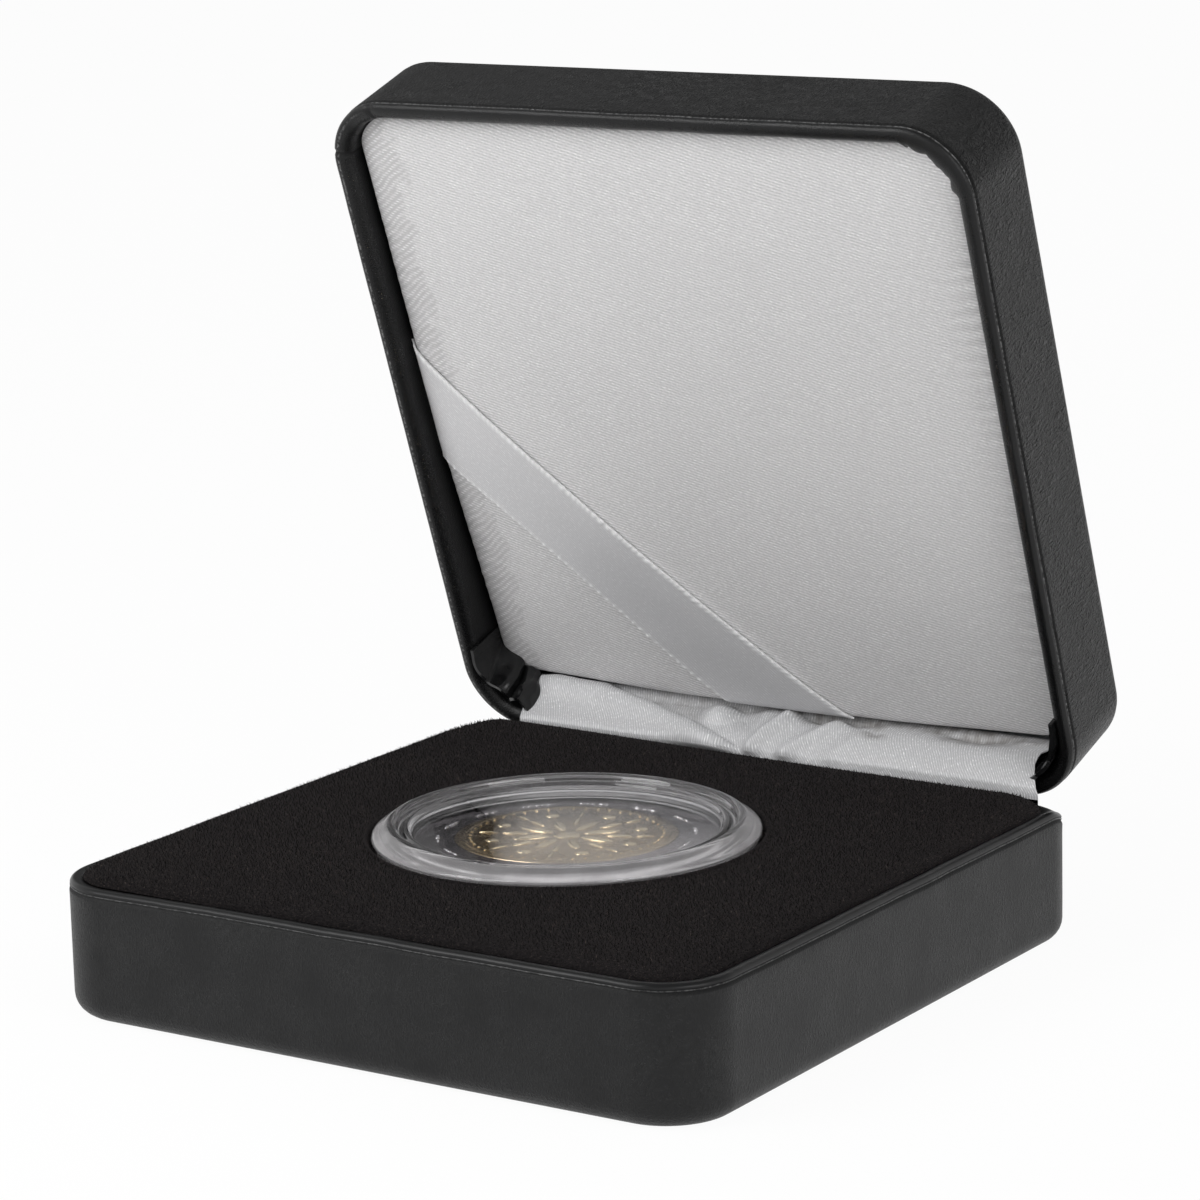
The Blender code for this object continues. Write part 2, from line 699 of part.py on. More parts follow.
def capsule_top_profile():
    """Top half: window, ringed shoulder, sloping lip and the skirt over the bottom half."""
    window_top, window_under, _floor_under, _floor_top = capsule_levels()
    shoulder_start = CAPSULE_WINDOW_RADIUS
    shoulder_width = CAPSULE_RADIUS - CAPSULE_SHOULDER_WIDTH - shoulder_start
    lip_top = window_top - CAPSULE_LIP_HEIGHT / 2
    lip_under = lip_top - CAPSULE_LIP_HEIGHT
    skirt_outer = CAPSULE_RADIUS - CAPSULE_LIP_OVERHANG
    skirt_inner = skirt_outer - CAPSULE_WALL
    skirt_end = lip_under - CAPSULE_SKIRT_DEPTH
    profile = [(0.0, window_top), (shoulder_start, window_top)]
    for across, up in CAPSULE_RING_SHARES:
        profile.append((shoulder_start + shoulder_width * across, window_top + CAPSULE_RECESS * up))
    slope_middle = (CAPSULE_RADIUS - CAPSULE_SHOULDER_WIDTH / 2, window_top + CAPSULE_RECESS / 2)
    profile += [slope_middle, (CAPSULE_RADIUS, lip_top), (CAPSULE_RADIUS, lip_under), (skirt_outer, lip_under)]
    profile += [(skirt_outer, skirt_end), (skirt_inner, skirt_end), (skirt_inner, window_under), (0.0, window_under)]
    return profile


def capsule_bottom_profile():
    """Bottom half: a shallow dish with a foot ring, whose wall fits the top half's skirt."""
    _window_top, window_under, floor_under, floor_top = capsule_levels()
    wall_outer = CAPSULE_RADIUS - CAPSULE_LIP_OVERHANG - CAPSULE_WALL - CAPSULE_JOINT_GAP
    wall_inner = capsule_cavity_radius()
    wall_top = window_under - CAPSULE_JOINT_GAP
    foot_inner = wall_inner - (wall_outer - wall_inner) / 2
    chamfer = (wall_outer - wall_inner) / 4
    return [
        (0.0, floor_top),
        (wall_inner, floor_top),
        (wall_inner, wall_top),
        (wall_outer, wall_top),
        (wall_outer, chamfer),
        (wall_outer - chamfer, 0.0),
        (foot_inner, 0.0),
        (foot_inner - chamfer, floor_under),
        (0.0, floor_under),
    ]


def coin_ring_profile():
    """Outer metal of the coin, a ring with a raised rim on both faces."""
    inner = COIN_CORE_RADIUS + COIN_JOINT_GAP
    rim = COIN_RADIUS - COIN_RIM_WIDTH
    face = COIN_THICKNESS - COIN_RIM_HEIGHT
    bevel = COIN_RIM_HEIGHT
    return [
        (inner, face),
        (rim, face),
        (rim + bevel, COIN_THICKNESS),
        (COIN_RADIUS - bevel, COIN_THICKNESS),
        (COIN_RADIUS, COIN_THICKNESS - bevel),
        (COIN_RADIUS, bevel),
        (COIN_RADIUS - bevel, 0.0),
        (rim + bevel, 0.0),
        (rim, COIN_RIM_HEIGHT),
        (inner, COIN_RIM_HEIGHT),
        (inner, face),
    ]


def coin_core_profile():
    """Inner metal of the coin, a plain disc with eased edges."""
    bevel = COIN_RIM_HEIGHT
    low = (COIN_THICKNESS - COIN_CORE_THICKNESS) / 2
    high = low + COIN_CORE_THICKNESS
    return [
        (0.0, high),
        (COIN_CORE_RADIUS - bevel, high),
        (COIN_CORE_RADIUS, high - bevel),
        (COIN_CORE_RADIUS, low + bevel),
        (COIN_CORE_RADIUS - bevel, low),
        (0.0, low),
    ]


def add_box_cutter(name, low, high, parent, collection):
    bm = bmesh.new()
    bmesh.ops.create_cube(bm, size=1.0)
    middle = (Vector(low) + Vector(high)) / 2
    size = Vector(high) - Vector(low)
    bmesh.ops.scale(bm, vec=size, verts=bm.verts[:])
    bmesh.ops.translate(bm, vec=middle, verts=bm.verts[:])
    return hide_cutter(add_object(name, mesh_from(bm, name), parent, collection))


def add_rivet_cutter(name, x, rear, level, parent, collection):
    """Round hole through the leaf, the turned-in leatherette and the steel."""
    start = LEAF_FACE_Y - LEAF_THICKNESS - CUT_OVERRUN
    end = CASE_DEPTH / 2 - SHELL_INSET + SKIN_GAP / 2
    radius = RIVET_RADIUS + RIVET_HOLE_GAP
    bm = bmesh.new()
    bmesh.ops.create_cone(
        bm,
        cap_ends=True,
        segments=SMALL_TURN_STEPS,
        radius1=radius,
        radius2=radius,
        depth=end - start,
        matrix=Matrix.Rotation(math.radians(90), 4, "X"),
    )
    bmesh.ops.translate(bm, vec=(x, rear * (start + end) / 2, level), verts=bm.verts[:])
    return hide_cutter(add_object(name, mesh_from(bm, name), parent, collection))


def hide_cutter(cutter):
    cutter.hide_render = True
    cutter.display_type = "WIRE"
    return cutter


def build():
    clear_scene()
    parts = make_collection("coin_display_case")
    cutters = make_collection("cutters")

    leatherette = make_material("leatherette_black", (0.022, 0.022, 0.024), 0.45, 0.0)
    steel = make_material("stamped_steel", (0.56, 0.57, 0.58), 0.35, 1.0)
    hinge_steel = make_material("nickel_plated_steel", (0.70, 0.69, 0.66), 0.25, 1.0)
    spring_steel = make_material("spring_steel", (0.42, 0.43, 0.45), 0.30, 1.0)
    card = make_material("grey_card", (0.40, 0.38, 0.35), 0.90, 0.0)
    foam = make_material("dark_foam", (0.10, 0.10, 0.11), 0.95, 0.0)
    white_foam = make_material("white_foam", (0.85, 0.85, 0.84), 0.95, 0.0)
    velour = make_material("velour_black", (0.012, 0.011, 0.013), 0.95, 0.0)
    satin = make_material("satin_silver", (0.58, 0.58, 0.59), 0.40, 0.0)
    ribbon = make_material("ribbon_satin", (0.52, 0.53, 0.55), 0.30, 0.0)
    strip = make_material("strip_satin", (0.66, 0.66, 0.68), 0.38, 0.0)
    clear = make_material("clear_plastic", (0.90, 0.91, 0.93), 0.08, 0.0, 0.3)
    nickel_coin = make_material("coin_silver_tone", (0.60, 0.59, 0.60), 0.28, 1.0)
    gold_coin = make_material("coin_gold_tone", (0.66, 0.54, 0.33), 0.30, 1.0)

    case = add_empty("case_origin", None, parts, (0.0, 0.0, 0.0), (0.0, 0.0, 0.0))
    swing = -math.radians(LID_OPEN_DEGREES)
    lid_axis = add_empty("lid_axis", case, parts, (0.0, HINGE_Y, HINGE_Z), (swing, 0.0, 0.0))
    # The lid's own frame lies upside down in the closed case: its floor is the lid's top
    lid = add_empty("lid_frame", lid_axis, parts, (0.0, -HINGE_Y, CASE_TOP_Z - HINGE_Z), (math.pi, 0.0, 0.0))
    capsule = add_empty("capsule_axis", case, parts, (0.0, WELL_Y, CAPSULE_BOTTOM_Z), (0.0, 0.0, 0.0))
    hinge_level_in_lid = CASE_TOP_Z - HINGE_Z

    build_base(parts, cutters, case, leatherette, steel, card, foam, velour)
    build_lid(parts, cutters, lid, leatherette, steel, card, white_foam, satin, ribbon)
    build_hinge(parts, cutters, case, lid, hinge_level_in_lid, hinge_steel, spring_steel)
    build_coin(parts, capsule, clear, nickel_coin, gold_coin)

    strip_item = add_object("hinge_strip", strip_mesh("hinge_strip"), case, parts, strip)
    solidify(strip_item, STRIP_THICKNESS, 0.0)
    shade(strip_item, 60.0)
    bpy.context.view_layer.update()


def build_base(parts, cutters, case, leatherette, steel, card, foam, velour):
    cover = add_object(
        "base_cover",
        cover_mesh("base_cover", BASE_HEIGHT, BASE_EDGE_RADIUS, BASE_FLAP_DEPTH, relieved=True),
        case,
        parts,
        leatherette,
    )
    shell = add_object(
        "base_shell",
        shell_mesh("base_shell", BASE_HEIGHT, BASE_EDGE_RADIUS, relieved=True),
        case,
        parts,
        steel,
    )
    solidify(shell, SHELL_THICKNESS, -1.0)
    margin = WALL + LAYER_GAP
    board = add_object(
        "base_board",
        board_mesh("base_board", CASE_WIDTH / 2 - margin, -CASE_DEPTH / 2 + margin, PAD_REAR_Y),
        case,
        parts,
        card,
    )
    board.location = (0.0, 0.0, BOARD_Z)
    block = add_object("base_foam", base_foam_mesh("base_foam"), case, parts, foam)
    pad = add_object("velour_pad", velour_mesh("velour_pad"), case, parts, velour)
    solidify(pad, VELOUR_THICKNESS, -1.0)
    for item in (cover, shell, block, pad):
        shade(item)


def build_lid(parts, cutters, lid, leatherette, steel, card, foam, satin, ribbon):
    cover = add_object(
        "lid_cover",
        cover_mesh("lid_cover", LID_HEIGHT, LID_EDGE_RADIUS, LID_FLAP_DEPTH, relieved=False),
        lid,
        parts,
        leatherette,
    )
    shell = add_object(
        "lid_shell",
        shell_mesh("lid_shell", LID_HEIGHT, LID_EDGE_RADIUS, relieved=False),
        lid,
        parts,
        steel,
    )
    solidify(shell, SHELL_THICKNESS, -1.0)
    notch_half = HINGE_LENGTH / 2 + PIN_HEAD_THICKNESS + NOTCH_CLEARANCE + SPRING_GAP
    notch_depth = HINGE_RISE - RIM_GAP + KNUCKLE_RADIUS + NOTCH_CLEARANCE
    notch = add_box_cutter(
        "hinge_notch_cutter",
        (-notch_half, -CASE_DEPTH / 2 - CUT_OVERRUN, LID_HEIGHT - notch_depth),
        (notch_half, -INNER_HALF_DEPTH + SKIN_GAP, LID_HEIGHT + CUT_OVERRUN),
        lid,
        cutters,
    )
    cut(cover, notch)
    cut(shell, notch)
    margin = WALL + LAYER_GAP
    board = add_object(
        "lid_board",
        board_mesh("lid_board", CASE_WIDTH / 2 - margin, -SATIN_REAR_Y, CASE_DEPTH / 2 - margin),
        lid,
        parts,
        card,
    )
    board.location = (0.0, 0.0, BOARD_Z)
    offset = SATIN_THICKNESS + LAYER_GAP
    block = add_object("lid_foam", satin_mesh("lid_foam", offset, FOAM_Z), lid, parts, foam)
    cushion = add_object("lid_satin", satin_mesh("lid_satin", 0.0, None), lid, parts, satin)
    solidify(cushion, SATIN_THICKNESS, -1.0)
    band = add_object("lid_ribbon", ribbon_mesh("lid_ribbon"), lid, parts, ribbon)
    solidify(band, RIBBON_THICKNESS, 0.0)
    for item in (cover, shell, block, cushion, band):
        shade(item)


def build_hinge(parts, cutters, case, lid, lid_level, hinge_steel, spring_steel):
    base_leaf = add_object("hinge_leaf_base", leaf_mesh("hinge_leaf_base", (0, 6), 1), case, parts, hinge_steel)
    base_leaf.location = (0.0, HINGE_Y, HINGE_Z)
    lid_leaf = add_object("hinge_leaf_lid", leaf_mesh("hinge_leaf_lid", (4,), -1), lid, parts, hinge_steel)
    lid_leaf.location = (0.0, -HINGE_Y, lid_level)
    for leaf in (base_leaf, lid_leaf):
        solidify(leaf, LEAF_THICKNESS, 0.0)

    pin = turned("hinge_pin", pin_profile(), SMALL_TURN_STEPS, case, parts, hinge_steel)
    pin.location = (0.0, HINGE_Y, HINGE_Z)
    pin.rotation_euler = (0.0, math.radians(90), 0.0)

    half = hinge_stations()
    spring_x = (half[1] + half[2]) / 2
    for side, label in ((-1, "left"), (1, "right")):
        name = "snap_spring_" + label
        spring = add_object(name, spring_mesh(name), case, parts, spring_steel)
        spring.location = (side * spring_x, HINGE_Y, HINGE_Z)
        solidify(spring, SPRING_THICKNESS, 0.0)

    rivet_x = HINGE_LENGTH / 2 - RIVET_END_DISTANCE
    head_seat = LEAF_FACE_Y - LEAF_THICKNESS - RIVET_HEAD_GAP
    halves = (
        ("base", case, 1, HINGE_Z - RIVET_DROP, (base_leaf, "base_cover", "base_shell")),
        ("lid", lid, -1, lid_level - RIVET_DROP, (lid_leaf, "lid_cover", "lid_shell")),
    )
    for half_name, parent, rear, level, (leaf, cover_name, shell_name) in halves:
        for side, label in ((-1, "left"), (1, "right")):
            x = side * rivet_x
            name = "hinge_rivet_" + half_name + "_" + label
            rivet = turned(name, rivet_profile(), SMALL_TURN_STEPS, parent, parts, hinge_steel)
            rivet.location = (x, rear * head_seat, level)
            rivet.rotation_euler = (rear * math.radians(90), 0.0, 0.0)
            cutter = add_rivet_cutter(name + "_cutter", x, rear, level, parent, cutters)
            for target in (leaf, bpy.data.objects[cover_name], bpy.data.objects[shell_name]):
                cut(target, cutter)


def build_coin(parts, capsule, clear, nickel_coin, gold_coin):
    _window_top, _window_under, _floor_under, floor_top = capsule_levels()
    bottom = turned("capsule_bottom", capsule_bottom_profile(), TURN_STEPS, capsule, parts, clear)
    top = turned("capsule_top", capsule_top_profile(), TURN_STEPS, capsule, parts, clear)
    ring = turned("coin_ring", coin_ring_profile(), TURN_STEPS, capsule, parts, nickel_coin)
    core = turned("coin_core", coin_core_profile(), TURN_STEPS, capsule, parts, gold_coin)
    for item in (ring, core):
        item.location = (0.0, 0.0, floor_top + COIN_SEAT_GAP)
    for item in (bottom, top, ring, core):
        shade(item)


build()
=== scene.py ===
"""Dresses the square coin display case, shown open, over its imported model.

The case is a steel clamshell wrapped in leatherette. Its tray holds a velour
insert with a round well, where a clear capsule with a coin of two metals sits.
Its lid holds a satin cushion with a diagonal ribbon, and a gathered satin strip
hides the snap hinge.

Lengths are in metres. Pieces of the lid are made in the lid's own frame, where
the lid lies on its panel with the hinge at -Y, and are then carried to the open
lid by LID_POSE.
"""

import json
import logging
import math
import random
from collections.abc import Callable, Mapping, Sequence
from dataclasses import dataclass
from enum import Enum
from typing import Any

import bmesh
import bpy
from bmesh.types import BMEdge, BMFace, BMesh, BMVert
from bpy.types import Material, Node, NodeSocket, Object, World
from mathutils import Matrix, Vector, noise

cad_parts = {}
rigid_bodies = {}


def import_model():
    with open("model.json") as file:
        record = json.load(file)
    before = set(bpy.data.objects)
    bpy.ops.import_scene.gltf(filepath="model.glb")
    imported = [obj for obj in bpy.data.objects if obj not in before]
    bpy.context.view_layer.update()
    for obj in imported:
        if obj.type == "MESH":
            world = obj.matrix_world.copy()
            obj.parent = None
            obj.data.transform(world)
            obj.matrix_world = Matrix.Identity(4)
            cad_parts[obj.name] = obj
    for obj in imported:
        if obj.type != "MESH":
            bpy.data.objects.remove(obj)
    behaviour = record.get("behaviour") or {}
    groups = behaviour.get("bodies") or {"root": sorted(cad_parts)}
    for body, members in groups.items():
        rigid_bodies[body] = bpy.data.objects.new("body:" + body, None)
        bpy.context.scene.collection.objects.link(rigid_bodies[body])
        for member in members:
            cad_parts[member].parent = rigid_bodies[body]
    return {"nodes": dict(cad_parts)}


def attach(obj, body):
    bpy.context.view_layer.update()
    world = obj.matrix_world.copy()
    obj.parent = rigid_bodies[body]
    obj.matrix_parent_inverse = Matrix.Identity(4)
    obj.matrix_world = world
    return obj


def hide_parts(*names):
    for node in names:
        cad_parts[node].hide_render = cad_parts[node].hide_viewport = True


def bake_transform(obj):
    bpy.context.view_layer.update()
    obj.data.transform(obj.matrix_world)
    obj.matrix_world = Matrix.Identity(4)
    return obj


for leftover in list(bpy.data.objects):
    bpy.data.objects.remove(leftover, do_unlink=True)
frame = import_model()

LOG = logging.getLogger("coin_case")
MM = 0.001
Place = Callable[[Vector], Vector]
Colour = tuple[float, float, float]
Inputs = Mapping[str | int, Any]

CASE_HALF = 0.0310
CORNER_RADIUS = 0.0060
WALL = 0.0016
BASE_HEIGHT = 0.0118
LID_HEIGHT = 0.0096
CASE_TOP = 0.0217
HINGE_Y = 0.0297
HINGE_Z = 0.0122
LID_OPEN = math.radians(71.0)
PAD_HALF = 0.0292
WELL_Y = -0.0011
CAPSULE_BOTTOM = 0.0075
BEAD_WANDER = 0.7
PHOTO_PIXELS = 1200.0
SENSOR_WIDTH = 36.0

HINGE_PLACE = Matrix.Translation((0.0, HINGE_Y, HINGE_Z))
OPENING = HINGE_PLACE @ Matrix.Rotation(-LID_OPEN, 4, "X") @ HINGE_PLACE.inverted()
TURNED_OVER = Matrix.Translation((0.0, 0.0, CASE_TOP)) @ Matrix.Rotation(math.pi, 4, "X")
LID_POSE = OPENING @ TURNED_OVER


class Body(Enum):
    """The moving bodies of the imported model."""

    BASE = "base"
    LID = "lid"
    CAPSULE = "capsule"


class Cloth(Enum):
    """Where a weave's threads are read from."""

    LID_PLANE = "lid plane"
    OWN_CUT = "own cut"


def ease(value: float) -> float:
    """Ease a value from 0 to 1, flat at both ends."""
    held = min(max(value, 0.0), 1.0)
    return held * held * (3.0 - 2.0 * held)


def hump(value: float, centre: float, width: float) -> float:
    """A soft hump of height 1 round a centre."""
    return math.exp(-(((value - centre) / width) ** 2))


def ripple(place: Vector, size: float, seed: float) -> float:
    """Smooth noise from -1 to 1.

    Args:
        place: Where it is read, in metres.
        size: The noise's wavelength, in metres.
        seed: Moves the noise, so that two pieces differ.

    Returns:
        The noise at that place.
    """
    return noise.noise(place / size + Vector((seed, 1.7 * seed, 2.3 * seed)))


def through(points: Sequence[tuple[float, float]], value: float) -> float:
    """Read a line drawn from point to point.

    Args:
        points: The line's points as (place, height), in order.
        value: The place to read.

    Returns:
        The height there.
    """
    if value <= points[0][0]:
        return points[0][1]
    for lower, upper in zip(points, points[1:]):
        if value <= upper[0]:
            share = (value - lower[0]) / (upper[0] - lower[0])
            return lower[1] + (upper[1] - lower[1]) * share
    return points[-1][1]


# ---------------------------------------------------------------- finishes


class NodeDesk:
    """Lays out the nodes of a material or world round its shader."""

    def __init__(self, owner: Material | World, shader: str = "Principled BSDF") -> None:
        """Take over the nodes of a new material or world.

        Args:
            owner: What the nodes belong to.
            shader: The node that they feed.
        """
        self.owner = owner
        self.owner.use_nodes = True
        self.tree = owner.node_tree
        self.shader = self.tree.nodes[shader]

    def node(self, kind: str, inputs: Inputs | None = None, **settings: Any) -> Node:
        """Add a node.

        Args:
            kind: The node's type.
            inputs: Values or sockets for its inputs, by name or number.
            **settings: The node's own settings.

        Returns:
            The new node.
        """
        made = self.tree.nodes.new(kind)
        for key, value in settings.items():
            setattr(made, key, value)
        for key, value in (inputs or {}).items():
            self.feed(made.inputs[key], value)
        return made

    def feed(self, socket: NodeSocket, value: Any) -> None:
        """Give an input a value, or link a socket to it."""
        if isinstance(value, NodeSocket):
            self.tree.links.new(value, socket)
        else:
            socket.default_value = value

    def surface(self, **values: Any) -> None:
        """Set the shader's inputs, named with _ for a space."""
        for key, value in values.items():
            self.feed(self.shader.inputs[key.replace("_", " ")], value)

    def place(self, turn: float = 0.0, centre: Vector | None = None) -> NodeSocket:
        """The piece's own coordinates in millimetres.

        Args:
            turn: Angle about X that levels the piece.
            centre: The pattern's centre, in metres.

        Returns:
            The vector socket.
        """
        found = self.node("ShaderNodeTexCoord").outputs["Object"]
        middle = centre or Vector((0.0, 0.0, 0.0))
        moved = self.node("ShaderNodeMapping", {"Vector": found, "Location": -middle}).outputs[0]
        turned = self.node("ShaderNodeMapping", {"Vector": moved, "Rotation": (turn, 0.0, 0.0)})
        return self.stretched(turned.outputs[0], (1.0 / MM, 1.0 / MM, 1.0 / MM))

    def cut(self) -> NodeSocket:
        """The cloth's own flat coordinates in millimetres, kept as its UV map."""
        return self.node("ShaderNodeTexCoord").outputs["UV"]

    def stretched(self, vector: NodeSocket, scale: Sequence[float]) -> NodeSocket:
        """A vector scaled along each axis."""
        return self.node("ShaderNodeMapping", {"Vector": vector, "Scale": scale}).outputs[0]

    def maths(self, operation: str, *values: Any) -> NodeSocket:
        """One step of arithmetic on sockets or numbers."""
        return self.node("ShaderNodeMath", dict(enumerate(values)), operation=operation).outputs[0]

    def times(self, first: Any, second: Any) -> NodeSocket:
        """The product of two sockets or numbers."""
        return self.maths("MULTIPLY", first, second)

    def plus(self, first: Any, second: Any) -> NodeSocket:
        """The sum of two sockets or numbers."""
        return self.maths("ADD", first, second)

    def minus(self, first: Any, second: Any) -> NodeSocket:
        """The difference of two sockets or numbers."""
        return self.maths("SUBTRACT", first, second)

    def along(self, vector: NodeSocket, direction: Sequence[float]) -> NodeSocket:
        """How far a vector reaches along a direction."""
        inputs = {0: vector, 1: (*direction, 0.0)[:3]}
        return self.node("ShaderNodeVectorMath", inputs, operation="DOT_PRODUCT").outputs["Value"]

    def cycle(self, phase: NodeSocket) -> NodeSocket:
        """A wave from 0 to 1 over a phase counted in turns."""
        wave = self.maths("COSINE", self.times(phase, 2.0 * math.pi))
        return self.maths("MULTIPLY_ADD", wave, 0.5, 0.5)

    def grain(
        self, vector: NodeSocket, scale: float, detail: float = 2.0, roughness: float = 0.5
    ) -> NodeSocket:
        """Cloudy noise from 0 to 1."""
        inputs = {"Vector": vector, "Scale": scale, "Detail": detail, "Roughness": roughness}
        return self.node("ShaderNodeTexNoise", inputs).outputs[0]

    def cells(self, vector: NodeSocket, scale: float, feature: str = "F1") -> NodeSocket:
        """Distance in a pattern of cells."""
        inputs = {"Vector": vector, "Scale": scale}
        return self.node("ShaderNodeTexVoronoi", inputs, feature=feature).outputs["Distance"]

    def spread(
        self,
        value: NodeSocket,
        low: float,
        high: float,
        to_low: float = 0.0,
        to_high: float = 1.0,
    ) -> NodeSocket:
        """Carry a range of values to another range, held at its ends."""
        names = ("Value", "From Min", "From Max", "To Min", "To Max")
        inputs = dict(zip(names, (value, low, high, to_low, to_high)))
        return self.node("ShaderNodeMapRange", inputs).outputs[0]

    def mixed(self, share: Any, first: Any, second: Any) -> NodeSocket:
        """Mix two colours by a share."""
        colours = [(*c, 1.0) if isinstance(c, tuple) and len(c) == 3 else c for c in (first, second)]
        inputs = {0: share, 6: colours[0], 7: colours[1]}
        return self.node("ShaderNodeMix", inputs, data_type="RGBA").outputs[2]

    def mark(self, name: str) -> NodeSocket:
        """A value stored on the piece's own points."""
        return self.node("ShaderNodeAttribute", attribute_name=name).outputs["Fac"]

    def bump(self, height: NodeSocket, depth: float, strength: float = 1.0) -> NodeSocket:
        """Turn a height into a normal.

        Args:
            height: The height from 0 to 1.
            depth: The depth of the relief, in metres.
            strength: How much of it shows.

        Returns:
            The normal socket.
        """
        inputs = {"Height": height, "Distance": depth, "Strength": strength}
        return self.node("ShaderNodeBump", inputs).outputs[0]


@dataclass(frozen=True)
class Leatherette:
    """Black coated leatherette, wrinkled across its walls, with pale lines along its folded edges that are
    partly wear and partly painted highlight, and painted shade in its creases.
    """

    name: str
    turn: float = 0.0
    wrinkle_depth: float = 0.030 * MM
    wrinkle_size: float = 4.4
    gloss: float = 0.42
    shine: float = 0.25
    shade: Colour = (0.0052, 0.0053, 0.0056)
    pale: Colour = (0.0098, 0.0100, 0.0103)
    # Colour of the pale edge lines: partly wear, partly painted highlight.
    wear_and_highlight: Colour = (0.20, 0.20, 0.20)
    # Painted shade: the colour of creases, cuts and the lid's dark front right corner.
    crease_shade_tone: Colour = (0.0030, 0.0030, 0.0032)
    calm_left: bool = False

    def material(self) -> Material:
        """Make the finish's material."""
        desk = NodeDesk(bpy.data.materials.new(self.name))
        place = desk.place(self.turn)
        sway = desk.spread(desk.grain(place, 0.9, 2.0), 0.2, 0.8, -0.35, 0.35)
        swayed = desk.node("ShaderNodeVectorMath", {0: place, 1: sway}, operation="ADD").outputs[0]
        wrinkles = desk.grain(desk.stretched(swayed, (1.0, 1.0, 0.34)), self.wrinkle_size, 3.0, 0.55)
        ridges = desk.spread(desk.maths("ABSOLUTE", desk.minus(wrinkles, 0.5)), 0.0, 0.16)
        pores = desk.cells(place, 5.5, "SMOOTH_F1")
        clouds = desk.grain(place, 0.20, 3.0)
        fine = desk.grain(place, 9.0, 2.0)
        flat = desk.minus(1.0, desk.mark("rolled"))
        strong = desk.times(desk.spread(clouds, 0.38, 0.60, 0.35, 1.0), flat)
        if self.calm_left:
            across = desk.along(place, (1.0, 0.0, 0.0))
            strong = desk.times(strong, desk.spread(across, -6.0, 22.0, 0.16, 1.0))
        relief = desk.times(desk.plus(ridges, desk.times(pores, 0.4)), strong)
        relief = desk.plus(relief, desk.times(fine, 0.10))
        # Dotted pale lines along folded edges: partly wear, partly painted highlight.
        dotted_share = desk.spread(desk.grain(place, 3.6, 2.0), 0.40, 0.66)
        edge = desk.times(desk.mark("wear_and_highlight"), dotted_share)
        tone = desk.mixed(desk.spread(clouds, 0.35, 0.7), self.shade, self.pale)
        # Painted shade: darker where the skin is creased or cut.
        tone = desk.mixed(desk.mark("crease_shade"), tone, self.crease_shade_tone)
        gloss = desk.spread(clouds, 0.3, 0.7, self.gloss + 0.04, self.gloss - 0.04)
        gloss = desk.plus(gloss, desk.times(desk.mark("crease_shade"), 0.40))
        gloss = desk.minus(gloss, desk.times(desk.mark("rolled"), 0.10))
        gloss = desk.plus(gloss, desk.spread(fine, 0.3, 0.7, -0.03, 0.03))
        desk.surface(
            Base_Color=desk.mixed(edge, tone, self.wear_and_highlight),
            Roughness=gloss,
            Specular_IOR_Level=self.shine,
            Normal=desk.bump(relief, self.wrinkle_depth),
        )
        return desk.owner


@dataclass(frozen=True)
class VelourPile:
    """Short black pile with warm fibres in it."""

    name: str
    bump: float = 0.16 * MM
    loose: bool = False
    root: Colour = (0.0022, 0.0020, 0.0023)
    tip: Colour = (0.0150, 0.0128, 0.0135)
    fibre: Colour = (0.150, 0.118, 0.104)

    def material(self) -> Material:
        """Make the finish's material."""
        desk = NodeDesk(bpy.data.materials.new(self.name))
        place = desk.place()
        pile = desk.grain(place, 4.6, 5.0, 0.72)
        if self.loose:
            tint = desk.mark("tint")
            shade, bright = desk.spread(tint, 0.0, 0.5), desk.spread(tint, 0.5, 1.0)
        else:
            lean = desk.spread(desk.grain(place, 0.11, 2.0), 0.35, 0.65, 0.25, 0.7)
            strands = desk.grain(desk.stretched(place, (1.0, 0.55, 1.0)), 9.0, 2.0, 0.6)
            shade = desk.spread(pile, 0.36, 0.72)
            bright = desk.times(desk.spread(strands, 0.60, 0.78), lean)
        tone = desk.mixed(shade, self.root, self.tip)
        desk.surface(
            Base_Color=desk.mixed(bright, tone, self.fibre),
            Roughness=0.95,
            Specular_IOR_Level=0.1,
            Sheen_Weight=0.03,
            Sheen_Roughness=0.55,
            Sheen_Tint=(0.62, 0.54, 0.53, 1.0),
            Normal=desk.bump(pile, self.bump, 0.9),
        )
        return desk.owner


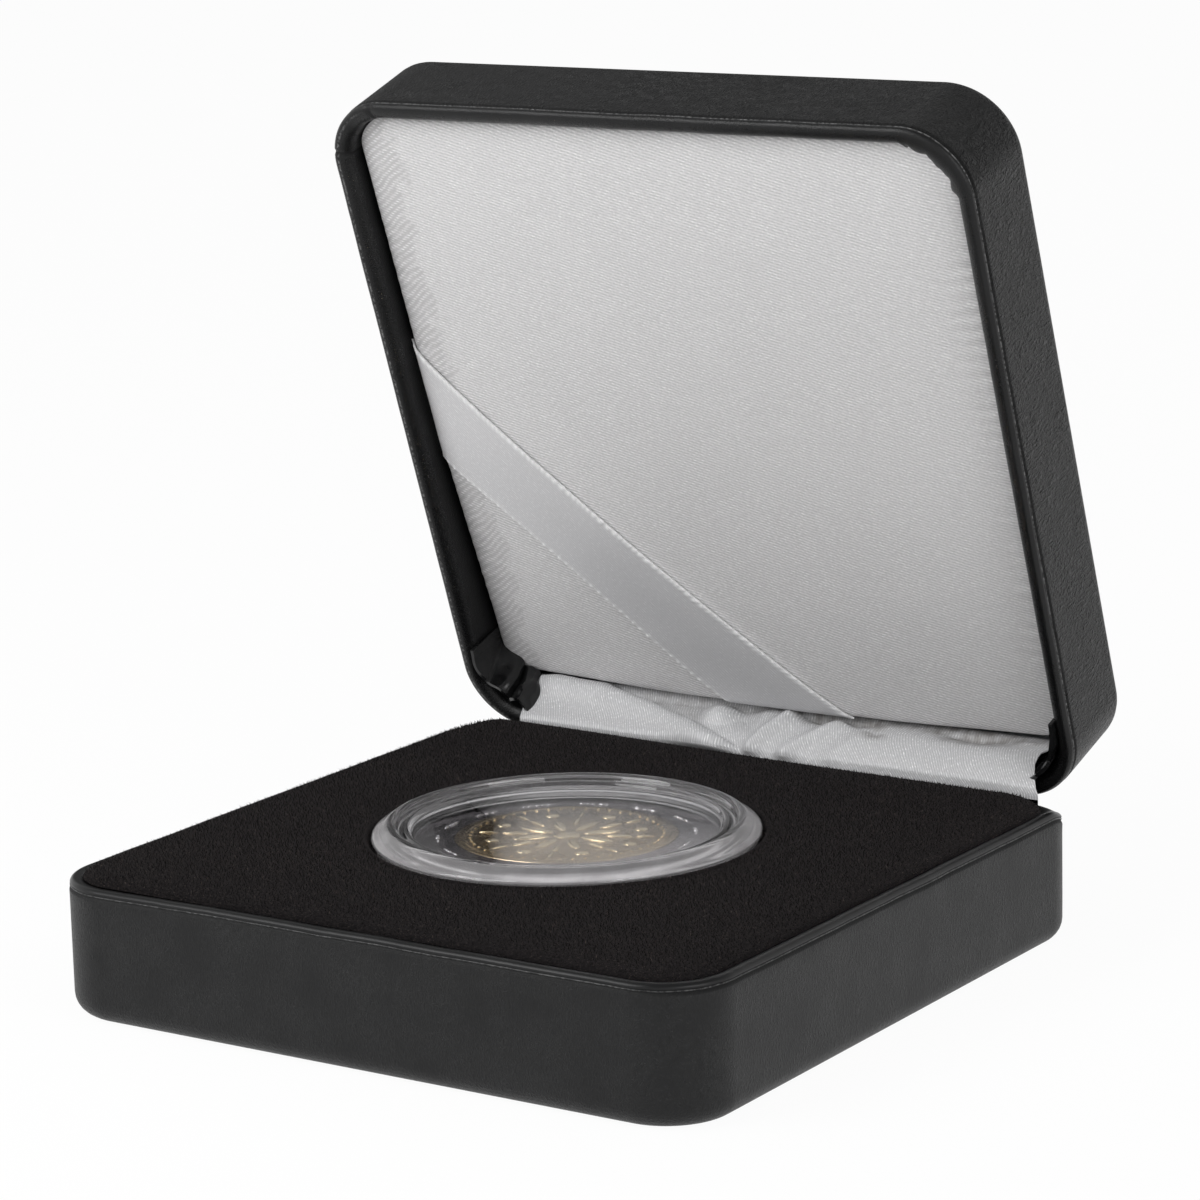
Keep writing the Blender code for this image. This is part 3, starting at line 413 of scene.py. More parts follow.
@dataclass(frozen=True)
class SatinWeave:
    """Satin whose threads float over each other in slanting rows.

    twill and floats are counts per millimetre along the cloth's two axes: of
    the twill lines, and of the places where their threads dip under.
    """

    name: str
    source: Cloth
    tone: Colour = (0.76, 0.752, 0.756)
    dip: Colour = (0.53, 0.523, 0.527)
    twill: tuple[float, float] = (0.910, 3.467)
    floats: tuple[float, float] = (1.389, -1.716)
    depth: float = 0.024 * MM
    gloss: float = 0.42
    soil_and_shade_share: float = 0.0
    uneven: float = 1.0
    edged: bool = False
    puckered: bool = False

    def material(self) -> Material:
        """Make the finish's material."""
        desk = NodeDesk(bpy.data.materials.new(self.name))
        place = desk.place(LID_OPEN + math.pi) if self.source is Cloth.LID_PLANE else desk.cut()
        drift = desk.grain(place, 0.55, 2.0)
        line = desk.cycle(desk.plus(desk.along(place, self.twill), desk.times(drift, 0.50)))
        lift = desk.cycle(desk.plus(desk.along(place, self.floats), desk.times(drift, 0.35)))
        swing = desk.times(desk.minus(line, 0.5), desk.maths("MULTIPLY_ADD", lift, 0.75, 0.45))
        slub = desk.spread(desk.grain(place, 1.7, 3.0, 0.6), 0.3, 0.7, 0.45, 1.35)
        fuzz = desk.times(desk.minus(desk.grain(place, 4.2, 2.0), 0.5), 0.9 * self.uneven)
        weave = desk.plus(desk.maths("MULTIPLY_ADD", swing, slub, 0.5), fuzz)
        # Puckers deepen the relief and darken the tone near the cushion's left edge: partly relief, partly
        # painted shade.
        if self.puckered:
            weave = desk.minus(weave, self.puckers(desk, place))
        shine = desk.spread(desk.grain(place, 2.6, 2.0), 0.44, 0.62)
        glint = desk.times(desk.spread(weave, 0.62, 1.05), shine)
        clouds = desk.grain(place, 0.12, 2.0)
        tone = desk.mixed(desk.spread(weave, 0.05, 0.85), self.dip, self.tone)
        tone = desk.mixed(desk.spread(clouds, 0.3, 0.7, 0.06, 0.0), tone, (0.42, 0.42, 0.43))
        tone = desk.mixed(desk.times(glint, 0.85), tone, (0.95, 0.95, 0.95))
        if self.edged:
            # Painted shade: the ribbon's satin darkened where its sheen turns away from the light.
            sheen_shade = desk.times(desk.mark("sheen_shade"), 0.36)
            tone = desk.mixed(sheen_shade, tone, (0.34, 0.345, 0.36))
            tone = desk.mixed(desk.mark("edged"), tone, (0.94, 0.94, 0.94))
        # Brownish darkening: painted shade in the strip's hollows and under the cushion's edge, with some
        # soiling, broken into patches.
        if self.soil_and_shade_share > 0.0:
            patches = desk.spread(desk.grain(place, 0.9, 3.0), 0.3, 0.65)
            soil_and_shade_mix = desk.times(desk.times(desk.mark("soil_and_shade"), patches), self.soil_and_shade_share)
            tone = desk.mixed(soil_and_shade_mix, tone, (0.16, 0.145, 0.13))
        desk.surface(
            Base_Color=tone,
            Roughness=desk.spread(weave, 0.0, 1.0, self.gloss + 0.12, self.gloss - 0.08),
            Specular_IOR_Level=0.5,
            Sheen_Weight=0.08,
            Sheen_Roughness=0.4,
            Normal=desk.bump(weave, self.depth, 0.8),
        )
        return desk.owner

    def puckers(self, desk: NodeDesk, place: NodeSocket) -> NodeSocket:
        """Slanting puckers where the satin is pulled round the cushion's left edge, as relief and as
        painted shade in their troughs.

        Args:
            desk: The material's desk.
            place: The cloth's coordinates, in millimetres.

        Returns:
            The depth of the puckers, which sinks the relief and darkens the tone.
        """
        sway = desk.times(desk.grain(place, 0.35, 2.0), 1.6)
        wave = desk.cycle(desk.plus(desk.along(place, (1.05, -1.45)), sway))
        edge = desk.spread(desk.grain(place, 0.5, 2.0), 0.3, 0.7, -26.6, -23.6)
        room = desk.maths("MAXIMUM", desk.minus(edge, desk.along(place, (1.0, 0.0, 0.0))), 0.0)
        near = desk.maths("SMOOTH_MIN", room, 1.0, 0.3)
        return desk.times(desk.times(wave, near), 0.62)


@dataclass(frozen=True)
class ClearPlastic:
    """Clear moulded plastic with faint handling marks."""

    name: str
    tint: Colour = (0.965, 0.96, 0.97)
    clear: float = 1.0
    rough: tuple[float, float] = (0.015, 0.07)
    cloudy: float = 0.96

    def material(self) -> Material:
        """Make the finish's material."""
        desk = NodeDesk(bpy.data.materials.new(self.name))
        place = desk.place(centre=Vector((0.0, WELL_Y, CAPSULE_BOTTOM)))
        haze = desk.grain(place, 0.5, 3.0)
        marks = desk.grain(desk.stretched(place, (1.0, 0.05, 1.0)), 9.0, 2.0)
        dull = tuple(self.cloudy * part for part in self.tint)
        desk.surface(
            Base_Color=desk.mixed(desk.spread(haze, 0.3, 0.7), self.tint, dull),
            Roughness=desk.spread(haze, 0.35, 0.7, *self.rough),
            Transmission_Weight=self.clear,
            IOR=1.49,
            Normal=desk.bump(marks, 0.0008 * MM, 0.6),
        )
        return desk.owner


@dataclass(frozen=True)
class Metal:
    """Bare metal with fine working marks."""

    name: str
    tone: Colour
    dark: Colour
    gloss: float
    centre: Vector = Vector((0.0, 0.0, 0.0))
    stretch: tuple[float, float, float] = (1.0, 1.0, 1.0)
    depth: float = 0.002 * MM
    struck: Colour | None = None

    def material(self) -> Material:
        """Make the finish's material."""
        desk = NodeDesk(bpy.data.materials.new(self.name))
        place = desk.place(centre=self.centre)
        marks = desk.grain(desk.stretched(place, self.stretch), 6.0, 4.0, 0.6)
        clouds = desk.grain(place, 0.3, 3.0)
        tone = desk.mixed(desk.spread(clouds, 0.3, 0.7), self.dark, self.tone)
        gloss = desk.spread(clouds, 0.3, 0.7, self.gloss + 0.05, self.gloss - 0.03)
        gloss = desk.plus(gloss, desk.spread(marks, 0.3, 0.7, 0.0, 0.05))
        if self.struck is not None:
            raised = desk.mark("raised")
            tone = desk.mixed(raised, tone, self.struck)
            gloss = desk.minus(gloss, desk.times(raised, 0.08))
        desk.surface(
            Base_Color=tone,
            Metallic=1.0,
            Roughness=gloss,
            Normal=desk.bump(marks, self.depth, 0.7),
        )
        return desk.owner


@dataclass(frozen=True)
class Pulp:
    """Grey card or foam: dull, with open cells or fibres."""

    name: str
    tone: Colour
    dark: Colour
    cell: float
    depth: float

    def material(self) -> Material:
        """Make the finish's material."""
        desk = NodeDesk(bpy.data.materials.new(self.name))
        place = desk.place()
        cells = desk.cells(place, self.cell)
        fibres = desk.grain(place, self.cell * 0.6, 4.0, 0.65)
        raised = desk.spread(desk.times(cells, fibres), 0.1, 0.45)
        desk.surface(
            Base_Color=desk.mixed(raised, self.dark, self.tone),
            Roughness=0.92,
            Specular_IOR_Level=0.25,
            Normal=desk.bump(cells, self.depth, 0.8),
        )
        return desk.owner


# ------------------------------------------------------------ shaping tools


@dataclass(frozen=True)
class Outline:
    """A rectangle with rounded corners, seen from above."""

    half_width: float
    front: float
    rear: float
    front_radius: float
    rear_radius: float

    @property
    def middle(self) -> float:
        """Y of the outline's middle."""
        return (self.front + self.rear) / 2.0

    def radius_at(self, y: float) -> float:
        """The corner radius of the end that y is nearer to."""
        return self.rear_radius if y > self.middle else self.front_radius

    def core(self, x: float, y: float) -> tuple[float, float]:
        """The nearest place that is a corner radius inside the outline."""
        side = self.half_width - self.radius_at(y)
        held_y = min(max(y, self.front + self.front_radius), self.rear - self.rear_radius)
        return min(max(x, -side), side), held_y

    def drawn_in(self, place: Vector, inset: float) -> tuple[float, float]:
        """A place of the outline, moved straight inwards by less than its radius."""
        core_x, core_y = self.core(place.x, place.y)
        reach = math.hypot(place.x - core_x, place.y - core_y)
        share = (reach - inset) / reach if reach > 1e-9 else 1.0
        return core_x + (place.x - core_x) * share, core_y + (place.y - core_y) * share

    def scaled_in(self, place: Vector, inset: float) -> tuple[float, float]:
        """A place of the outline, brought in by scaling the outline."""
        half_depth = (self.rear - self.front) / 2.0
        across = (self.half_width - inset) / self.half_width
        along = (half_depth - inset) / half_depth
        return place.x * across, self.middle + (place.y - self.middle) * along

    def corner_share(self, place: Vector) -> float:
        """1 at the middle of a rounded corner, 0 on the straight sides."""
        core_x, core_y = self.core(place.x, place.y)
        across, along = abs(place.x - core_x), abs(place.y - core_y)
        radius = self.radius_at(place.y)
        return min(1.0, 2.0 * min(across, along) / (radius * math.sqrt(0.5)))

    def turn_at(self, place: Vector) -> float:
        """Angle round the nearest corner's centre, from 0 to a quarter turn."""
        core_x, core_y = self.core(place.x, place.y)
        return math.atan2(abs(place.y - core_y), abs(place.x - core_x))

    def pulled_in(self, x: float, y: float) -> tuple[float, float]:
        """Carry a place of the full rectangle to the one with rounded corners."""
        core_x, core_y = self.core(x, y)
        radius = self.radius_at(y)
        across, along = (x - core_x) / radius, (y - core_y) / radius
        if abs(across) < 1e-9 or abs(along) < 1e-9:
            return x, y
        new_across = across * math.sqrt(max(1.0 - along * along / 2.0, 0.0))
        new_along = along * math.sqrt(max(1.0 - across * across / 2.0, 0.0))
        return core_x + new_across * radius, core_y + new_along * radius


def extruded(bm: BMesh, edges: list[BMEdge]) -> tuple[set[BMVert], list[BMEdge]]:
    """Extrude a ring of edges.

    Args:
        bm: The mesh.
        edges: The ring's edges.

    Returns:
        The points and the edges of the new ring.
    """
    made = bmesh.ops.extrude_edge_only(bm, edges=edges)["geom"]
    fresh = {item for item in made if isinstance(item, BMVert)}
    ring = [item for item in made if isinstance(item, BMEdge) and fresh.issuperset(item.verts)]
    return fresh, ring


class RingStack:
    """A shape raised ring by ring from an outline.

    Every point keeps the place on the outline that it was raised from.
    """

    def __init__(self, outline: Outline, corner_steps: int = 16, side_steps: int = 110) -> None:
        """Draw the outline as the first ring.

        Args:
            outline: The outline to draw.
            corner_steps: Edges in each rounded corner.
            side_steps: Cuts in each straight side.
        """
        self.bm = bmesh.new()
        bmesh.ops.create_grid(self.bm, x_segments=1, y_segments=1, size=0.5)
        depth = outline.rear - outline.front
        bmesh.ops.scale(self.bm, vec=(2.0 * outline.half_width, depth, 1.0), verts=self.bm.verts[:])
        bmesh.ops.translate(self.bm, vec=(0.0, outline.middle, 0.0), verts=self.bm.verts[:])
        for radius, ends in (
            (outline.front_radius, [v for v in self.bm.verts if v.co.y < outline.middle]),
            (outline.rear_radius, [v for v in self.bm.verts if v.co.y > outline.middle]),
        ):
            bmesh.ops.bevel(
                self.bm,
                geom=ends,
                offset=radius,
                offset_type="OFFSET",
                segments=corner_steps,
                profile=0.5,
                affect="VERTICES",
                material=-1,
            )
        bmesh.ops.delete(self.bm, geom=self.bm.faces[:], context="FACES_ONLY")
        sides = sorted(self.bm.edges, key=lambda e: e.calc_length())[-4:]
        bmesh.ops.subdivide_edges(self.bm, edges=sides, cuts=side_steps)
        self.seat = self.bm.verts.layers.float_vector.new("seat")
        self.marks = [self.bm.verts.layers.float.new(name) for name in ("wear_and_highlight", "crease_shade", "rolled")]
        for vertex in self.bm.verts:
            vertex[self.seat] = vertex.co
        self.ring: list[BMEdge] = self.bm.edges[:]
        self.first: list[BMEdge] = self.bm.edges[:]

    def settle(self, place: Place) -> None:
        """Place the points of the current ring."""
        for vertex in {v for e in self.ring for v in e.verts}:
            vertex.co = place(vertex[self.seat])

    def add(self, place: Place, marks: Callable[[Vector], Sequence[float]] | None = None) -> None:
        """Raise a new ring from the last one.

        Args:
            place: Gives a point its place from its place on the outline.
            marks: Gives a point's share of wear and painted highlight, its share of painted crease shade,
                and how rolled it is.
        """
        fresh, self.ring = extruded(self.bm, self.ring)
        for vertex in fresh:
            seat = vertex[self.seat]
            vertex.co = place(seat)
            for layer, value in zip(self.marks, marks(seat) if marks else (0.0, 0.0, 0.0)):
                vertex[layer] = value

    def cap(self, edges: list[BMEdge]) -> None:
        """Close a ring with one face."""
        bmesh.ops.edgeloop_fill(self.bm, edges=edges)

    def join_ends(self) -> None:
        """Join the last ring to the first."""
        bmesh.ops.bridge_loops(self.bm, edges=self.ring + self.first)


def cloth_grid(length: float, width: float, steps_along: int, steps_across: int) -> BMesh:
    """A flat cut of cloth, centred, with its flat place in millimetres as its UV map.

    Args:
        length: Its length along X.
        width: Its width along Y.
        steps_along: Faces along it.
        steps_across: Faces across it.

    Returns:
        The mesh.
    """
    bm = bmesh.new()
    bmesh.ops.create_grid(bm, x_segments=steps_along, y_segments=steps_across, size=0.5)
    bmesh.ops.scale(bm, vec=(length, width, 1.0), verts=bm.verts[:])
    layer = bm.loops.layers.uv.new("cut")
    for face in bm.faces:
        for loop in face.loops:
            loop[layer].uv = (loop.vert.co.x / MM, loop.vert.co.y / MM)
    return bm


def spun(profile: Sequence[tuple[float, float]], centre: tuple[float, float], steps: int = 128) -> BMesh:
    """Turn a profile about an upright axis.

    Args:
        profile: The profile as (radius, level) pairs, both in metres.
        centre: X and Y of the axis.
        steps: Steps round the turn.

    Returns:
        The closed mesh.
    """
    bm = bmesh.new()
    points = [bm.verts.new((centre[0] + radius, centre[1], level)) for radius, level in profile]
    edges = [bm.edges.new(pair) for pair in zip(points, points[1:])]
    bmesh.ops.spin(
        bm,
        geom=points + edges,
        cent=(centre[0], centre[1], 0.0),
        axis=(0.0, 0.0, 1.0),
        angle=2.0 * math.pi,
        steps=steps,
        use_merge=True,
    )
    bmesh.ops.remove_doubles(bm, verts=bm.verts[:], dist=0.002 * MM)
    return bm


def arc(
    centre: tuple[float, float], radius: float, start: float, end: float, steps: int
) -> list[tuple[float, float]]:
    """Points of an arc as (across, up) pairs, between two angles in degrees."""
    found = []
    for step in range(steps + 1):
        angle = math.radians(start + (end - start) * step / steps)
        across, up = radius * math.cos(angle), radius * math.sin(angle)
        found.append((centre[0] + across, centre[1] + up))
    return found


def make_piece(
    name: str,
    bm: BMesh,
    material: Material,
    body: Body | None,
    stands_for: Sequence[str] = (),
    pose: Matrix | None = None,
    sharp: float = 40.0,
) -> Object:
    """Turn a mesh into a finished piece of the case.

    Args:
        name: The piece's name.
        bm: Its mesh, which is used up.
        material: Its finish.
        body: The body it rides on, or None for a piece that spans two and is left on neither.
        stands_for: The CAD nodes that it replaces.
        pose: Carries the mesh to its place.
        sharp: Edges that turn more than this many degrees stay sharp.

    Returns:
        The piece's object.
    """
    if pose is not None:
        bmesh.ops.transform(bm, matrix=pose, verts=bm.verts[:])
    bmesh.ops.recalc_face_normals(bm, faces=bm.faces[:])
    mesh = bpy.data.meshes.new(name)
    bm.to_mesh(mesh)
    bm.free()
    mesh.shade_smooth()
    mesh.set_sharp_from_angle(angle=math.radians(sharp))
    mesh.materials.append(material)
    piece = bpy.data.objects.new(name, mesh)
    bpy.context.scene.collection.objects.link(piece)
    if body is not None:
        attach(piece, body.value)
    if stands_for:
        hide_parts(*stands_for)
    LOG.info("%s: %d points", name, len(mesh.vertices))
    return piece


def dress(node: str, material: Material) -> None:
    """Give a CAD node that stays a finish of its own."""
    mesh = frame["nodes"][node].data
    mesh.materials.clear()
    mesh.materials.append(material)
    LOG.info("%s dressed", node)


# --------------------------------------------------------------- the pieces


@dataclass(frozen=True)
class Station:
    """One ring of the leatherette's section: how far in, how high, and its marks."""

    inset: float
    level: float
    wear_and_highlight: float = 0.0
    crease_shade: float = 0.0
    rolled: float = 0.0
    pleat: float = 0.0
    wander: float = 0.0


@dataclass(frozen=True)
class RimDetail:
    """One place of the rim that differs: a cut, a pucker or a gather of the turned-in flap."""

    turn: float
    width: float
    depth: float
    right: bool
    front: bool


@dataclass(frozen=True)
class LeatherTray:
    """Leatherette skin of one half of the case, standing on its panel."""

    name: str
    node: str
    body: Body
    height: float
    edge_radius: float
    flap_depth: float
    finish: Leatherette
    pose: Matrix
    front_sign: float
    relief: float = 0.0
    sink: float = 0.0
    lobes: float = 0.0
    plain_front: float = 0.0
    # Share of painted shade at the lid's front right corner.
    painted_corner_shade: float = 0.0
    # Share of a painted highlight line, dotted, along the left rim.
    left_highlight_line: float = 0.0
    cuts: tuple[RimDetail, ...] = ()
    skin: float = 0.4 * MM
    bead_height: float = 0.58 * MM
    bead_radius: float = 0.48 * MM
    bead_inset: float = 0.05 * MM
    # Where the left rim's painted highlight line runs across the rim, and its width.
    line_inset: float = 0.53 * MM
    line_width: float = 0.03 * MM
    seed: float = 1.0

    def section(self) -> list[Station]:
        """The skin's section from the panel's edge over the rim and back inside."""
        top, edge, bead = self.height, self.edge_radius, self.bead_height
        seam = top - bead
        found = [Station(edge - a, edge + b) for a, b in arc((0.0, 0.0), edge, -90, 0, 7)]
        for share in (0.2, 0.4, 0.6, 0.8, 0.93):
            found.append(Station(0.0, edge + (seam - 0.45 * MM - edge) * share, wander=0.4))
        # Each row: inset, level, share of wear and painted highlight, share of painted crease shade, share
        # rolled.
        for inset, level, wear_and_highlight, crease_shade, rolled in (
            (0.0, -0.40, 0.0, 0.1, 0.0),
            (0.02, -0.30, 0.0, 0.7, 0.2),
            (0.09, -0.17, 0.0, 1.0, 0.5),
            (0.13, -0.06, 0.0, 1.0, 0.6),
            (0.08, -0.01, 0.3, 0.5, 0.8),
            (0.04, 0.03, 1.0, 0.0, 1.0),
            (0.05, 0.08, 0.8, 0.0, 1.0),
            (0.11, 0.12, 0.0, 0.8, 1.0),
            (0.08, 0.17, 0.0, 0.5, 1.0),
        ):
            place = (inset * MM, seam + level * MM)
            found.append(Station(*place, wear_and_highlight, crease_shade, rolled, wander=1.0))
        lift = 0.18 * MM
        for across, up in arc((0.0, 0.0), 1.0, 12, 90, 7):
            place = (self.bead_inset + self.bead_radius * (1.0 - across), seam + lift + (bead - lift) * up)
            found.append(Station(*place, rolled=1.0, wander=BEAD_WANDER))
        inner = WALL - self.bead_radius - self.bead_inset
        drop = 0.95 * MM
        for across, up in arc((0.0, 0.0), 1.0, 90, 180, 9)[1:]:
            place = (WALL - inner * (1.0 + across), top - drop + drop * up)
            pleat = 0.55 * (1.0 - up)
            found.append(Station(*place, crease_shade=0.1, rolled=1.0, pleat=pleat, wander=0.6))
        for share in (0.06, 0.14, 0.25, 0.4, 0.6, 0.8, 1.0):
            level = top - drop - (self.flap_depth - drop) * share
            pleat = 0.55 + 0.45 * ease(share * 3.0)
            found.append(Station(WALL, level, crease_shade=0.25, rolled=1.0, pleat=pleat, wander=0.5))
        found.append(Station(WALL - self.skin, top - self.flap_depth, pleat=0.8))
        for across, up in arc((0.0, 0.0), 1.0, 180, 0, 6):
            place = (0.78 * MM - 0.36 * MM * across, top - drop + 0.55 * MM * up)
            found.append(Station(*place))
        bend = edge - self.skin
        found += [Station(-a, b) for a, b in arc((-edge, edge), bend, 0, -90, 3)]
        return found

    def detail(self, seat: Vector) -> float:
        """How deep a cut runs over the rim at a place of the outline, from 0 to 1."""
        deepest = 0.0
        for cut in self.cuts:
            if (seat.x > 0.0) == cut.right and (seat.y * self.front_sign > 0.0) == cut.front:
                turn = CASE_OUTLINE.turn_at(seat)
                deepest = max(deepest, cut.depth * hump(turn, cut.turn, cut.width))
        return deepest

    def gather(self, seat: Vector) -> float:
        """How far the gathered flap stands in at a place of the outline."""
        if seat.x < 0.0 or seat.y * self.front_sign < 0.0:
            return 0.0
        turn = CASE_OUTLINE.turn_at(seat)
        corner = CASE_OUTLINE.corner_share(seat)
        lobe = abs(math.sin(6.2 * turn + 0.4 + 0.5 * math.sin(5.0 * turn)))
        return self.lobes * ease(corner * 3.0) * (0.15 + 0.85 * math.sqrt(lobe))

    def spot(self, seat: Vector, station: Station) -> Vector:
        """Where one station's ring passes above a place of the outline.

        Args:
            seat: The place on the outline.
            station: The ring's station.

        Returns:
            The point in the tray's own frame.
        """
        corner = CASE_OUTLINE.corner_share(seat)
        turn = CASE_OUTLINE.turn_at(seat)
        tucks = abs(math.sin(6.5 * turn + 3.0 * ripple(seat, 5.0 * MM, self.seed)))
        inset = station.inset + 0.16 * MM * station.pleat * corner * tucks
        inset += station.pleat * self.gather(seat)
        cut = self.detail(seat)
        inset += 0.030 * MM * station.wander * ripple(seat, 2.6 * MM, self.seed + 3.0)
        if station.rolled > 0.0 and station.inset < 0.2 * MM:
            inset += 0.05 * MM * cut
        x, y = CASE_OUTLINE.drawn_in(seat, inset)
        level = station.level + 0.06 * MM * station.wander * ripple(seat, 5.5 * MM, self.seed + 7.0)
        level += 0.02 * MM * station.wander * ripple(seat, 1.1 * MM, self.seed + 9.0)
        level -= 0.16 * MM * cut * station.rolled
        return Vector((x, y, level - self.drop(seat, y, level)))

    def drop(self, seat: Vector, y: float, level: float) -> float:
        """How far the rim is drawn down at a place of the wall."""
        start = CASE_HALF - CORNER_RADIUS
        reach = (level - self.height + 4.0 * MM) / (4.0 * MM - self.bead_height - 0.4 * MM)
        rear = self.relief * ease((y - start) / (HINGE_Y - start))
        left = self.sink * ease(-seat.x / (20.0 * MM) - 0.4)
        return (rear + left) * ease(reach)

    def marks(self, seat: Vector, station: Station) -> tuple[float, float, float]:
        """How much wear and painted highlight, painted crease shade and roll the skin has at a place."""
        cut = self.detail(seat) * station.rolled
        front = ease(CASE_OUTLINE.turn_at(seat) / (math.pi / 2.0) - 0.25) if seat.y < 0.0 else 0.0
        # Painted shade in creases, eased off on the front, and in the cuts.
        crease_shade = station.crease_shade * (1.0 - 0.6 * front * self.plain_front)
        # Painted shade darkening the lid's front right corner.
        if seat.x > 0.0 and seat.y * self.front_sign > 0.0:
            crease_shade += self.painted_corner_shade * ease(CASE_OUTLINE.corner_share(seat) * 1.1)
        # Painted highlight: a dotted line along the left rim's bead.
        line = self.left_highlight_line * ease((-seat.x - 26.0 * MM) / (4.0 * MM))
        line *= hump(station.inset, self.line_inset, self.line_width)
        wear_and_highlight = max(station.wear_and_highlight, line if station.wander == BEAD_WANDER else 0.0)
        return wear_and_highlight * (1.0 - cut), min(1.0, crease_shade + cut), station.rolled

    def build(self) -> Object:
        """Make the skin and put it in place of its CAD node."""
        stations = self.section()
        stack = RingStack(CASE_OUTLINE, 28, 120)
        stack.settle(lambda seat: self.spot(seat, stations[0]))
        for station in stations[1:]:
            stack.add(
                lambda seat, held=station: self.spot(seat, held),
                lambda seat, held=station: self.marks(seat, held),
            )
        stack.cap(stack.first)
        stack.cap(stack.ring)
        material, nodes = self.finish.material(), [self.node]
        return make_piece(
            self.name, stack.bm, material, self.body, nodes, self.pose, 60.0
        )


@dataclass(frozen=True)
class CornerGather:
    """Turned-in leatherette bunched up in a hinge corner of the lid.

    Its places are given for the closed lid: across from the corner along the
    rear wall, and upwards from the rim.
    """

    name: str
    side: float
    finish: Leatherette
    end: float = 5.0 * MM
    depth: float = 5.0 * MM
    bulge: float = 2.15 * MM
    folds: float = 2.7
    rim_level: float = 11.75 * MM
    past_rim: float = 0.4 * MM
    wall_radius: float = 4.4 * MM
    wall_half: float = 29.35 * MM
    wall_start: float = 23.0 * MM

    @property
    def straight(self) -> float:
        """Length of the side wall before its rounded corner."""
        return self.wall_half - self.wall_radius - self.wall_start

    @property
    def quarter(self) -> float:
        """Length of the rounded corner."""
        return self.wall_radius * math.pi / 2.0

    def wall(self, run: float) -> tuple[Vector, Vector]:
        """The lid's inner wall at a run along it, and its direction inwards."""
        radius, half = self.wall_radius, self.wall_half
        straight, quarter = self.straight, self.quarter
        if run < straight:
            return Vector((-half, self.wall_start + run, 0.0)), Vector((1.0, 0.0, 0.0))
        if run < straight + quarter:
            angle = (run - straight) / radius
            inward = Vector((math.cos(angle), -math.sin(angle), 0.0))
            return Vector((-half + radius, half - radius, 0.0)) - inward * radius, inward
        across = -half + radius + run - straight - quarter
        return Vector((across, half, 0.0)), Vector((0.0, -1.0, 0.0))

    def build(self) -> Object:
        """Make the bunched leatherette."""
        total = self.straight + self.quarter + self.end - self.wall_radius
        bm = bmesh.new()
        bmesh.ops.create_grid(bm, x_segments=90, y_segments=40, size=0.5)
        marks = [bm.verts.layers.float.new(name) for name in ("wear_and_highlight", "crease_shade", "rolled")]
        for vertex in bm.verts:
            along, up = vertex.co.x + 0.5, vertex.co.y + 0.5
            ragged = 0.35 * MM * hump(up, 0.35, 0.3) - 1.6 * MM * ease((up - 0.4) / 0.6)
            ragged += 0.05 * MM * math.sin(up * 21.0)
            spot, inward = self.wall(along * (total + ragged))
            phase = self.folds * along + 0.55 * up + 0.08 * math.sin(9.0 * along)
            crest = abs(math.sin(math.pi * phase))
            fold = 0.42 * (1.0 - 0.8 * ease((along - 0.72) / 0.2))
            stand = self.bulge * ease((along - 0.10) / 0.45) * (1.0 - fold + fold * crest)
            stand *= 0.25 + 0.75 * ease((1.0 - along) / 0.10)
            stand *= (0.80 + 0.20 * ease(up * 4.0)) * ease((1.02 - up) / 0.3)
            creases = ripple(Vector((along * 9.0, up * 6.0, 0.0)), 1.3, 4.0)
            stand += 0.10 * MM * creases * ease(along * 4.0)
            spot += inward * stand
            level = self.rim_level + (self.depth + self.past_rim) * up
            level -= 0.30 * MM * crest * ease(along * 3.0) * (1.0 - up)
            # Painted shade in the troughs between the folds; the gather has no edge lines.
            for layer, value in zip(marks, (0.0, 0.8 - 0.8 * ease(crest * 2.6), 1.0)):
                vertex[layer] = value
            vertex.co = (spot.x * -self.side, spot.y, level)
        bmesh.ops.recalc_face_normals(bm, faces=bm.faces[:])
        bmesh.ops.solidify(bm, geom=bm.faces[:], thickness=0.3 * MM)
        material = self.finish.material()
        return make_piece(
            self.name, bm, material, Body.LID, (), OPENING, 70.0
        )


CASE_OUTLINE = Outline(CASE_HALF, -CASE_HALF, CASE_HALF, CORNER_RADIUS, CORNER_RADIUS)
INSERT_OUTLINE = Outline(0.02985, -0.02985, 0.0276, 0.0048, 0.0036)
CUSHION_OUTLINE = Outline(PAD_HALF, -0.0274, 0.0292, 0.0044, 0.0042)


